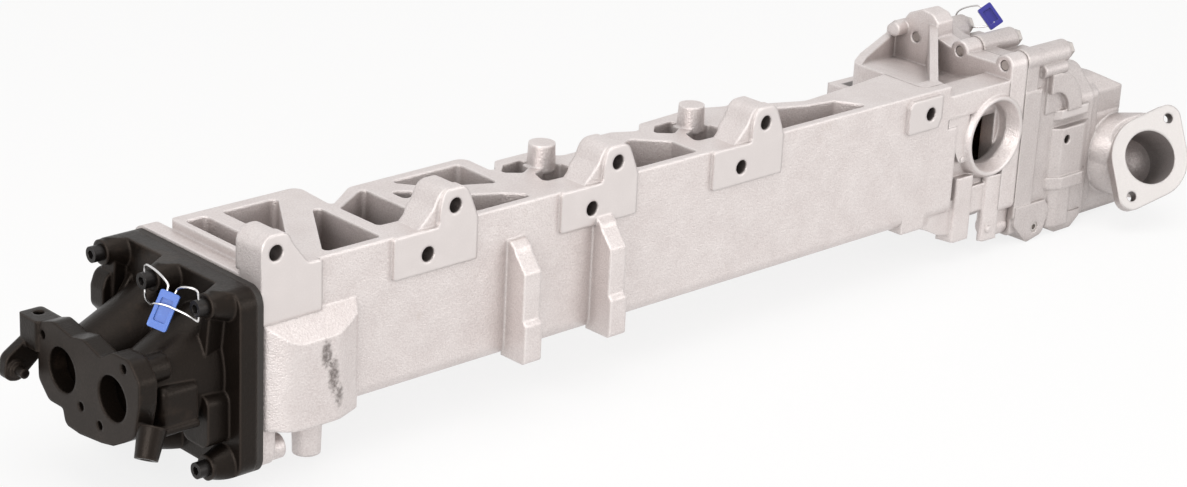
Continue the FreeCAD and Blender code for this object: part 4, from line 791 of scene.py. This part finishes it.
@dataclass(frozen=True)
class MetalFinish:
    """A turned, pressed or drawn metal.

    Attributes:
        name: The material's name.
        base: Main colour.
        other: Colour of the tint or the dirt in patches.
        metallic: Metallic value.
        roughness: Mean roughness.
        roughness_swing: How far it goes up and down with the grain.
        tint: How much of the surface has the other colour.
        scale: Patches in a metre.
        grain: Fine marks in a metre.
        pits: Depth of the pits, as a share of the marks.
        depth: Height of the marks.
        edge_radius: Radius that the edges look rounded by.
        edge: Colour of the edges.
        edge_share: How much the wear shows on the edges.
    """

    name: str
    base: Colour
    other: Colour
    metallic: float = 1.0
    roughness: float = 0.35
    roughness_swing: float = 0.2
    tint: float = 0.4
    scale: float = 60.0
    grain: float = 1600.0
    pits: float = 0.1
    depth: float = 0.00003
    edge_radius: float = 0.0004
    edge: Colour = (0.6, 0.58, 0.56)
    edge_share: float = 0.25

    def material(self) -> Material:
        """Builds the material.

        Returns:
            The new material.
        """
        graph = MaterialGraph(self.name)
        stains = graph.use(Recipe.STAINS, scale=self.scale, amount=self.tint)
        edge = graph.use(Recipe.ROUNDED_EDGE, radius=self.edge_radius)
        grain = graph.use(Recipe.SAND_GRAIN, grain=self.grain, pits=self.pits)
        colour = graph.mix(stains["Mask"], self.base, self.other)
        colour = graph.layer(colour, edge["Edge"], self.edge_share, self.edge)
        rough = graph.sway(grain["Tone"], self.roughness_swing, self.roughness)
        feeds = {"Base Color": colour, "Roughness": rough, "Metallic": self.metallic}
        graph.fill(graph.shader, feeds)
        graph.relief(self.depth, grain["Height"], edge["Normal"])
        return graph.material


@dataclass(frozen=True)
class PlasticFinish:
    """A moulded plastic with fine spark grain.

    Attributes:
        name: The material's name.
        base: Main colour.
        faded: Colour of the rubbed edges and the chalky patches.
        roughness: Mean roughness.
        roughness_swing: How far it goes up and down with the grain.
        grain: Grains in a metre.
        depth: Height of the grain.
        edge_radius: Radius that the edges look rounded by.
        edge_share: How much the edges are rubbed.
        chalk_scale: Chalky patches in a metre.
        chalk: How much of the surface is chalky.
        chalk_share: How much that shows.
    """

    name: str
    base: Colour
    faded: Colour
    roughness: float = 0.38
    roughness_swing: float = 0.15
    grain: float = 2400.0
    depth: float = 0.00004
    edge_radius: float = 0.0004
    edge_share: float = 0.5
    chalk_scale: float = 120.0
    chalk: float = 0.45
    chalk_share: float = 0.35

    def material(self) -> Material:
        """Builds the material.

        Returns:
            The new material.
        """
        graph = MaterialGraph(self.name)
        chalk = graph.use(Recipe.STAINS, scale=self.chalk_scale, amount=self.chalk)
        edge = graph.use(Recipe.ROUNDED_EDGE, radius=self.edge_radius)
        grain = graph.use(Recipe.SAND_GRAIN, grain=self.grain, pits=0.0)
        rubbed = graph.times(edge["Edge"], self.edge_share)
        chalky = graph.times(chalk["Mask"], self.chalk_share)
        colour = graph.mix(graph.math("MAXIMUM", rubbed, chalky), self.base, self.faded)
        rough = graph.sway(grain["Tone"], self.roughness_swing, self.roughness)
        graph.fill(graph.shader, {"Base Color": colour, "Roughness": rough})
        graph.relief(self.depth, grain["Height"], edge["Normal"])
        return graph.material


Finish = Union[CastFinish, MetalFinish, PlasticFinish]


@lru_cache(maxsize=None)
def material_of(finish: Finish) -> Material:
    """Returns the material of a finish, which is built when it is first asked for."""
    return finish.material()


SILVER = from_screen(219, 212, 210)
SILVER_SHADE = from_screen(199, 190, 188)
SILVER_MILLED = from_screen(211, 204, 202)
# Lighter edge colour of the aluminium: partly wear, partly a painted highlight.
SILVER_WEAR_AND_HIGHLIGHT = from_screen(240, 234, 232)
SILVER_STAIN = from_screen(192, 181, 175)
SCUFF = from_screen(66, 56, 50)
IRON = from_screen(20, 15, 12)
IRON_SHADE = from_screen(12, 9, 7)
IRON_MILLED = from_screen(25, 20, 17)
IRON_WORN = from_screen(86, 76, 70)
IRON_STAIN = from_screen(42, 33, 27)

EAR_PITCH = 0.155
FIRST_EAR_X = -0.2325
PAD_HOLES = tuple((x, -0.0309) for x in (-0.1015, 0.0535, 0.2085, 0.4287))
EAR_HOLES = tuple((FIRST_EAR_X + EAR_PITCH * index, 0.0) for index in range(4))

MOUNTING_PLANE = Plane(OUTWARDS, 0.0, 0.0004)
PORT_PLANE = Plane((-1.0, 0.0, 0.0), 0.3325)
OUTLET_CENTRE = Vector((0.6925, -0.033, -0.112))
OUTLET_TURN = math.radians(28.0)
OUTLET_RISE = math.radians(26.0)
OUTLET_WAY = -heading(OUTLET_TURN, OUTLET_RISE)
OUTLET_SIDE = to_the_right(OUTLET_TURN)
OUTLET_HOLE_SIDE = 0.0205
OUTLET_HOLE_RISE = 0.0335
OUTLET_STEP = OUTLET_SIDE * OUTLET_HOLE_SIDE + OUTLET_WAY.cross(OUTLET_SIDE) * OUTLET_HOLE_RISE
OUTLET_PLANE = Plane(tuple(OUTLET_WAY), OUTLET_WAY.dot(OUTLET_CENTRE))

HOUSING_FINISH = CastFinish(
    name="blasted_housing_casting",
    skin=SILVER,
    shade=SILVER_SHADE,
    milled=SILVER_MILLED,
    worn=SILVER_WEAR_AND_HIGHLIGHT,
    stain=SILVER_STAIN,
    planes=(MOUNTING_PLANE,),
    spots=(
        Spot((-0.2000, -0.0140, -0.0760), (0.0080, 0.0120, 0.0180), SCUFF, 0.8),
        Spot((-0.1940, -0.0140, -0.0930), (0.0080, 0.0120, 0.0220), SCUFF, 0.8),
        Spot((-0.1890, -0.0100, -0.1090), (0.0080, 0.0120, 0.0160), SCUFF, 0.7),
    ),
    # Painted shade inside the ear and pad holes, the ring chamber and the pockets.
    painted_shade_hollows=(
        *(Bore((x, 0.0, z)) for x, z in (*EAR_HOLES, *PAD_HOLES)),
        Chamber((0.4945, 0.0705, -0.0805), (0.0435, 0.0500, 0.0445)),
        Chamber((0.07, 0.0620, -0.0550), (0.32, 0.0560, 0.0400), 0.34, 0.6),
    ),
)
# Painted shade: the housing's aluminium, made darker so that the outlet housing renders less
# bright under the lamps.
OUTLET_PAINTED_SHADE_FINISH = CastFinish(
    name="outlet_housing_casting",
    skin=from_screen(203, 196, 194),
    shade=from_screen(182, 174, 172),
    milled=SILVER_MILLED,
    # Lighter edge colour: partly wear, partly a painted highlight.
    worn=from_screen(220, 213, 210),
    stain=SILVER_STAIN,
    grain=700.0,
    depth=0.00026,
    planes=(MOUNTING_PLANE,),
    # Painted shade inside a small hole.
    painted_shade_hollows=(Bore((0.6105, -0.003, -0.0875), radius=0.0044, depth=0.02),),
)
# Painted shade: the housing's aluminium, made darker so that the end cover renders less bright
# under the lamps.
COVER_PAINTED_SHADE_FINISH = CastFinish(
    name="end_cover_casting",
    skin=from_screen(198, 191, 189),
    shade=from_screen(178, 170, 168),
    # Milled flange face darker still: painted shade against the lamp that it faces.
    milled=from_screen(197, 193, 191),
    # Lighter edge colour: partly wear, partly a painted highlight.
    worn=from_screen(234, 229, 227),
    stain=from_screen(192, 183, 178),
    grain=740.0,
    depth=0.00026,
    milled_roughness=0.5,
    tool_centre=tuple(OUTLET_CENTRE),
    planes=(OUTLET_PLANE,),
    # Painted shade inside the outlet bore and its two bolt holes.
    painted_shade_hollows=(
        Bore(tuple(OUTLET_CENTRE), tuple(OUTLET_WAY), 0.0238, 0.045, 0.05, 0.45),
        *(
            Bore(tuple(OUTLET_CENTRE + OUTLET_STEP * side), tuple(OUTLET_WAY), 0.0047, 0.012)
            for side in (1.0, -1.0)
        ),
    ),
)
MANIFOLD_FINISH = CastFinish(
    name="black_manifold_casting",
    skin=IRON,
    shade=IRON_SHADE,
    milled=IRON_MILLED,
    worn=IRON_WORN,
    stain=IRON_STAIN,
    metallic=0.0,
    specular=0.2,
    gloss_tint=(1.0, 0.86, 0.76),
    roughness=0.36,
    milled_roughness=0.46,
    grain=700.0,
    depth=0.00012,
    pits=0.25,
    edge_share=0.3,
    stain_amount=0.45,
    tool_centre=(-0.3325, 0.074, -0.4),
    planes=(PORT_PLANE,),
    # Painted shade in the manifold's corners and pockets.
    corner=from_screen(10, 8, 7),
)
BLACK_SCREW = MetalFinish(
    name="black_screw_steel",
    base=from_screen(34, 31, 30),
    other=from_screen(56, 48, 42),
    metallic=0.6,
    roughness=0.42,
    tint=0.35,
    scale=160.0,
    edge=from_screen(120, 112, 106),
)
ZINC_SCREW = MetalFinish(
    name="zinc_screw_steel",
    base=from_screen(188, 182, 178),
    other=from_screen(150, 142, 134),
    metallic=0.9,
    roughness=0.38,
    tint=0.4,
    scale=180.0,
    edge=from_screen(225, 221, 218),
)
BRIGHT_WIRE = MetalFinish(
    name="bright_drawn_wire",
    base=from_screen(214, 212, 212),
    other=from_screen(150, 148, 148),
    roughness=0.24,
    tint=0.2,
    scale=400.0,
    edge_share=0.0,
)
HEAT_TINT = MetalFinish(
    name="heat_tinted_bellows",
    base=from_screen(160, 136, 120),
    other=from_screen(92, 72, 62),
    roughness=0.26,
    tint=0.6,
    scale=70.0,
    edge=from_screen(190, 170, 150),
)
BRIGHT_STAINLESS = MetalFinish(
    name="brazed_stainless_core",
    base=from_screen(176, 172, 168),
    other=from_screen(140, 118, 98),
    roughness=0.32,
    tint=0.35,
    scale=50.0,
)
BLACK_GASKET = MetalFinish(
    name="black_coated_gasket",
    base=from_screen(38, 34, 31),
    other=from_screen(62, 55, 50),
    metallic=0.1,
    roughness=0.6,
    tint=0.4,
    scale=90.0,
    edge=from_screen(96, 88, 82),
)
GREY_GASKET = MetalFinish(
    name="grey_sheet_gasket",
    base=from_screen(120, 114, 110),
    other=from_screen(84, 78, 74),
    metallic=0.4,
    roughness=0.55,
    tint=0.5,
    scale=120.0,
)
BLUE_TAG = PlasticFinish(
    name="blue_tag_plastic",
    base=from_screen(56, 98, 180),
    faded=from_screen(112, 156, 226),
)
VIOLET_TAG = PlasticFinish(
    name="violet_tag_plastic",
    base=from_screen(36, 34, 136),
    faded=from_screen(120, 118, 190),
)

Worn = dict[str, tuple[Finish, Slot]]


@dataclass
class SubAssembly:
    """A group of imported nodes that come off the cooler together.

    Attributes:
        worn: Finish and slot of each node of the group.
        nodes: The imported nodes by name.
    """

    worn: ClassVar[Worn] = {}
    nodes: dict[str, bpy.types.Object]

    def dress(self) -> list[str]:
        """Gives each node of the group its finish all over.

        Returns:
            The names of the dressed nodes.
        """
        for name, (finish, slot) in self.worn.items():
            piece = self.nodes[name]
            materials = piece.data.materials
            if not materials:
                materials.append(None)
            for index in range(len(materials)):
                materials[index] = material_of(finish)
            LOG.info("%s: %s wears %s", type(self).__name__, name, finish.name)
        return list(self.worn)


@dataclass
class CoolerBody(SubAssembly):
    """The long aluminium housing with its mounting ears."""

    worn: ClassVar[Worn] = {"cooler_housing": (HOUSING_FINISH, Slot.ALUMINIUM)}


@dataclass
class GasCore(SubAssembly):
    """The brazed core inside the housing, from the front header to the bellows."""

    worn: ClassVar[Worn] = {
        "front_header_plate": (BLACK_GASKET, Slot.STAINLESS),
        "gas_tubes": (BRIGHT_STAINLESS, Slot.STAINLESS),
        "baffle_plates": (BRIGHT_STAINLESS, Slot.STAINLESS),
        "rear_header_plate": (BRIGHT_STAINLESS, Slot.STAINLESS),
        "gas_collector": (HEAT_TINT, Slot.STAINLESS),
        "expansion_bellows": (HEAT_TINT, Slot.STAINLESS),
        "bellows_flange": (HEAT_TINT, Slot.STAINLESS),
        "gas_seal_ring": (HEAT_TINT, Slot.STEEL),
    }


@dataclass
class InletEnd(SubAssembly):
    """The black two-port manifold with its gaskets, screws and dowels."""

    worn: ClassVar[Worn] = {
        "inlet_manifold": (MANIFOLD_FINISH, Slot.IRON),
        "inlet_screws": (BLACK_SCREW, Slot.DARK_STEEL),
        "inlet_dowels": (ZINC_SCREW, Slot.STEEL),
        "inlet_gasket": (BLACK_GASKET, Slot.GASKET),
        "coolant_gasket": (BLACK_GASKET, Slot.GASKET),
    }


@dataclass
class OutletEnd(SubAssembly):
    """The outlet housing and the elbow cover with their gaskets, screws and plug."""

    worn: ClassVar[Worn] = {
        "outlet_housing": (OUTLET_PAINTED_SHADE_FINISH, Slot.ALUMINIUM),
        "end_cover": (COVER_PAINTED_SHADE_FINISH, Slot.ALUMINIUM),
        "outlet_housing_gasket": (GREY_GASKET, Slot.PLAIN_GASKET),
        "end_cover_gasket": (GREY_GASKET, Slot.PLAIN_GASKET),
        "outlet_housing_screws": (ZINC_SCREW, Slot.STEEL),
        "outlet_lower_screws": (ZINC_SCREW, Slot.STEEL),
        "end_cover_screws": (ZINC_SCREW, Slot.STEEL),
        "outlet_dowels": (ZINC_SCREW, Slot.STEEL),
        "drain_plug": (ZINC_SCREW, Slot.DARK_STEEL),
    }


@dataclass
class LockingWires(SubAssembly):
    """The two locking wires, bent by hand through drilled screw heads, with their bare tags.

    Attributes:
        thickness: Diameter of the wire.
        inlet_route: Points that the wire of the manifold is bent towards.
        outlet_route: Points that the wire of the outlet housing is bent towards.
    """

    worn: ClassVar[Worn] = {
        "seal_wire_inlet": (BRIGHT_WIRE, Slot.STEEL),
        "seal_wire_outlet": (BRIGHT_WIRE, Slot.STEEL),
        "seal_tag_inlet": (BLUE_TAG, Slot.BLUE),
        "seal_tag_outlet": (VIOLET_TAG, Slot.VIOLET),
    }
    thickness: float = 0.0016
    inlet_route: tuple[Triple, ...] = (
        (-0.2956, 0.0360, -0.0274), (-0.2936, 0.0364, -0.0233), (-0.2922, 0.0369, -0.0201),
        (-0.2930, 0.0420, -0.0165), (-0.2905, 0.0530, -0.0160), (-0.2870, 0.0660, -0.0175),
        (-0.2838, 0.0758, -0.0200), (-0.2835, 0.0770, -0.0235), (-0.2835, 0.0770, -0.0270),
        (-0.2835, 0.0770, -0.0370), (-0.2835, 0.0770, -0.0405), (-0.2860, 0.0730, -0.0435),
        (-0.2910, 0.0620, -0.0415), (-0.2985, 0.0470, -0.0365), (-0.3031, 0.0385, -0.0310),
        (-0.2987, 0.0318, -0.0312), (-0.2940, 0.0265, -0.0340), (-0.2880, 0.0182, -0.0378),
        (-0.2842, 0.0161, -0.0418), (-0.2835, 0.0160, -0.0405), (-0.2835, 0.0160, -0.0370),
        (-0.2835, 0.0160, -0.0270), (-0.2835, 0.0160, -0.0235), (-0.2838, 0.0164, -0.0200),
        (-0.2865, 0.0185, -0.0180), (-0.2897, 0.0240, -0.0182), (-0.2884, 0.0320, -0.0221),
        (-0.2903, 0.0322, -0.0251), (-0.2926, 0.0323, -0.0290),
    )
    outlet_route: tuple[Triple, ...] = (
        (0.5990, 0.0897, 0.0067), (0.5983, 0.0943, 0.0081), (0.5976, 0.0989, 0.0094),
        (0.5977, 0.1180, 0.0010), (0.5973, 0.1220, -0.0075), (0.5973, 0.1190, -0.0110),
        (0.5973, 0.1140, -0.0110), (0.5973, 0.1040, -0.0110), (0.5973, 0.0990, -0.0110),
        (0.6055, 0.0893, -0.0087), (0.6040, 0.0843, -0.0047), (0.6020, 0.0813, -0.0027),
    )

    def bend(self, name: str, route: tuple[Triple, ...], replaced: str) -> None:
        """Bends one wire along a smooth spline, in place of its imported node.

        Args:
            name: The new piece's name.
            route: The points that the spline is drawn towards.
            replaced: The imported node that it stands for.
        """
        curve = bpy.data.curves.new(name, "CURVE")
        curve.dimensions = "3D"
        curve.bevel_depth = self.thickness / 2
        curve.bevel_resolution = 4
        curve.resolution_u = 10
        curve.use_fill_caps = True
        spline = curve.splines.new("NURBS")
        spline.points.add(len(route) - 1)
        for point, place in zip(spline.points, route):
            point.co = (*place, 1.0)
        spline.order_u = 3
        spline.use_endpoint_u = True
        wire = bpy.data.objects.new(name, curve)
        bpy.context.scene.collection.objects.link(wire)
        finish, slot = self.worn[replaced]
        curve.materials.append(material_of(finish))
        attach(wire, BODY)
        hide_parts(replaced)
        LOG.info("%s stands for %s", name, replaced)

    def dress(self) -> list[str]:
        """Bends both wires and gives each node of the group its finish.

        Returns:
            The names of the dressed nodes.
        """
        self.bend("locking_wire_inlet", self.inlet_route, "seal_wire_inlet")
        self.bend("locking_wire_outlet", self.outlet_route, "seal_wire_outlet")
        return super().dress()


SUB_ASSEMBLIES = (CoolerBody, GasCore, InletEnd, OutletEnd, LockingWires)


@dataclass(frozen=True)
class PhotographCamera:
    """The camera, as it stood when the photograph was taken.

    Attributes:
        place: Where its lens stood.
        yaw: Degrees that it looks round from +Y towards +X.
        pitch: Degrees that it looks down.
        roll: Degrees that it is turned about its own line of sight.
        focal_pixels: Focal length in pixels of the photograph.
        middle: Pixel that lies on the line of sight.
        image: Width and height of the photograph in pixels.
        sensor: Width of the sensor in millimetres.
        clip: Nearest and farthest distance that it sees.
    """

    place: Triple = (-1.3055, -1.4170, 0.6924)
    yaw: float = 44.172
    pitch: float = 21.564
    roll: float = 2.933
    focal_pixels: float = 2879.78
    middle: Range = (606.38, 276.76)
    image: tuple[int, int] = (1187, 487)
    sensor: float = 36.0
    clip: Range = (0.05, 60.0)

    def turn(self) -> Matrix:
        """Works out how the camera is turned.

        Returns:
            Its rotation, with its columns right, up and backwards.
        """
        yaw, pitch, roll = (math.radians(a) for a in (self.yaw, self.pitch, self.roll))
        ahead = heading(yaw, pitch)
        level = to_the_right(yaw)
        above = level.cross(ahead)
        right = math.cos(roll) * level + math.sin(roll) * above
        up = -math.sin(roll) * level + math.cos(roll) * above
        return Matrix((right, up, -ahead)).transposed()

    def build(self) -> None:
        """Makes the camera and uses it for the scene."""
        lens = bpy.data.cameras.new("photograph_camera")
        camera = bpy.data.objects.new("photograph_camera", lens)
        bpy.context.scene.collection.objects.link(camera)
        width, height = self.image
        lens.sensor_width = self.sensor
        lens.lens = self.sensor * self.focal_pixels / width
        lens.shift_x = (width / 2 - self.middle[0]) / width
        lens.shift_y = (self.middle[1] - height / 2) / width
        lens.clip_start, lens.clip_end = self.clip
        camera.matrix_world = Matrix.Translation(self.place) @ self.turn().to_4x4()
        bpy.context.scene.camera = camera


@dataclass(frozen=True)
class Softbox:
    """A square lamp of the studio.

    Attributes:
        name: The lamp's name.
        place: Where it hangs.
        target: The point that it faces.
        size: Its side in metres.
        power: Its power in watts.
        colour: Its colour.
    """

    name: str
    place: Triple
    target: Triple
    size: float
    power: float
    colour: Colour = (1.0, 0.985, 0.97)

    def build(self) -> None:
        """Makes the lamp."""
        light = bpy.data.lights.new(self.name, "AREA")
        light.shape = "SQUARE"
        light.size = self.size
        light.energy = self.power
        light.color = self.colour
        lamp = bpy.data.objects.new(self.name, light)
        lamp.location = self.place
        aim = Vector(self.target) - Vector(self.place)
        lamp.rotation_euler = aim.to_track_quat("-Z", "Y").to_euler()
        bpy.context.scene.collection.objects.link(lamp)


@dataclass
class Studio:
    """The pale floor, the lamps, the world and the camera.

    Attributes:
        camera: The camera's place and lens.
        lamps: The softboxes.
        floor_colour: Colour of the floor.
        floor_shade: How bright its darker clouds are beside it.
        floor_clouds: Clouds in a metre.
        floor_roughness: Its roughness.
        floor_specular: Strength of its mirror part.
        floor_half: Half its side.
        floor_glow: How much of what a camera sees of the floor is plain white.
        world_colour: Colour of the world's light.
        world_level: Brightness of the world on the object.
    """

    camera: PhotographCamera = field(default_factory=PhotographCamera)
    lamps: tuple[Softbox, ...] = (
        Softbox("top_softbox", (0.1, -0.3, 2.4), (0.15, 0.05, -0.1), 2.4, 28.0),
        Softbox("left_softbox", (-2.3, -1.2, 0.9), (0.1, 0.0, -0.1), 1.8, 48.0),
        Softbox("right_softbox", (1.7, -2.4, 0.7), (0.3, 0.0, -0.1), 1.6, 22.0),
    )
    floor_colour: Colour = (0.86, 0.855, 0.85)
    floor_shade: float = 0.985
    floor_clouds: float = 3.0
    floor_roughness: float = 0.9
    floor_specular: float = 0.1
    floor_half: float = 6.0
    floor_glow: float = 0.8
    world_colour: Colour = (1.0, 0.99, 0.98)
    world_level: float = 0.55

    def build(self, floor_height: float) -> None:
        """Makes the studio.

        Args:
            floor_height: Height of what the object stands on.
        """
        self.camera.build()
        for lamp in self.lamps:
            lamp.build()
        self.build_floor(floor_height)
        self.build_world()

    def build_floor(self, height: float) -> None:
        """Makes the floor.

        Args:
            height: Its height.
        """
        mesh = bpy.data.meshes.new("studio_floor")
        half = self.floor_half
        corners = [(-half, -half, 0), (half, -half, 0), (half, half, 0), (-half, half, 0)]
        mesh.from_pydata(corners, [], [(0, 1, 2, 3)])
        floor = bpy.data.objects.new("studio_floor", mesh)
        floor.location.z = height
        bpy.context.scene.collection.objects.link(floor)
        mesh.materials.append(self.floor_material())
        floor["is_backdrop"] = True

    def floor_material(self) -> Material:
        """Makes the floor's material, which a camera sees nearly white.

        Returns:
            The new material.
        """
        graph = MaterialGraph("studio_paper")
        clouds = graph.noise(self.floor_clouds)
        darker = tuple(channel * self.floor_shade for channel in self.floor_colour)
        feeds = {
            "Base Color": graph.mix(clouds, self.floor_colour, darker),
            "Roughness": self.floor_roughness,
            "Specular IOR Level": self.floor_specular,
        }
        graph.fill(graph.shader, feeds)
        glow = graph.node("ShaderNodeEmission", {"Strength": 1.0}).outputs["Emission"]
        share = graph.times(self.sees_background(graph), self.floor_glow)
        feeds = {0: share, 1: graph.shader.outputs["BSDF"], 2: glow}
        both = graph.node("ShaderNodeMixShader", feeds)
        graph.feed(graph.out.inputs["Surface"], both.outputs["Shader"])
        return graph.material

    @staticmethod
    def sees_background(graph: Graph) -> Socket:
        """Tells the rays that see the plain background from those that light the object.

        Args:
            graph: The graph of the floor or the world.

        Returns:
            1 for rays of the camera, of gloss and of glass, and 0 for the others.
        """
        rays = graph.node("ShaderNodeLightPath").outputs
        direct = graph.math("MAXIMUM", rays["Is Camera Ray"], rays["Is Glossy Ray"])
        return graph.math("MAXIMUM", direct, rays["Is Transmission Ray"])

    def build_world(self) -> None:
        """Makes the even grey-white world."""
        world = bpy.data.worlds.new("studio_world")
        world.use_nodes = True
        graph = Graph(world.node_tree)
        world.node_tree.nodes.clear()
        backgrounds = [
            graph.node("ShaderNodeBackground", {"Color": colour, "Strength": strength}).outputs[0]
            for colour, strength in ((self.world_colour, self.world_level), (WHITE, 1.0))
        ]
        feeds = dict(enumerate((self.sees_background(graph), *backgrounds)))
        both = graph.node("ShaderNodeMixShader", feeds)
        graph.node("ShaderNodeOutputWorld", {"Surface": both.outputs["Shader"]})
        bpy.context.scene.world = world


def main() -> None:
    """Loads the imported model, dresses it and sets up the studio."""
    logging.basicConfig(level=logging.INFO, format="%(name)s: %(message)s")
    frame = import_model()
    frame_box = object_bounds()
    bpy.context.scene.view_settings.view_transform = "Standard"
    Studio().build(frame_box[0].z)
    dressed: list[str] = []
    for kind in SUB_ASSEMBLIES:
        dressed += kind(frame["nodes"]).dress()
    LOG.info("%d of %d nodes are dressed", len(dressed), len(frame["nodes"]))


if __name__ == "__main__":
    main()
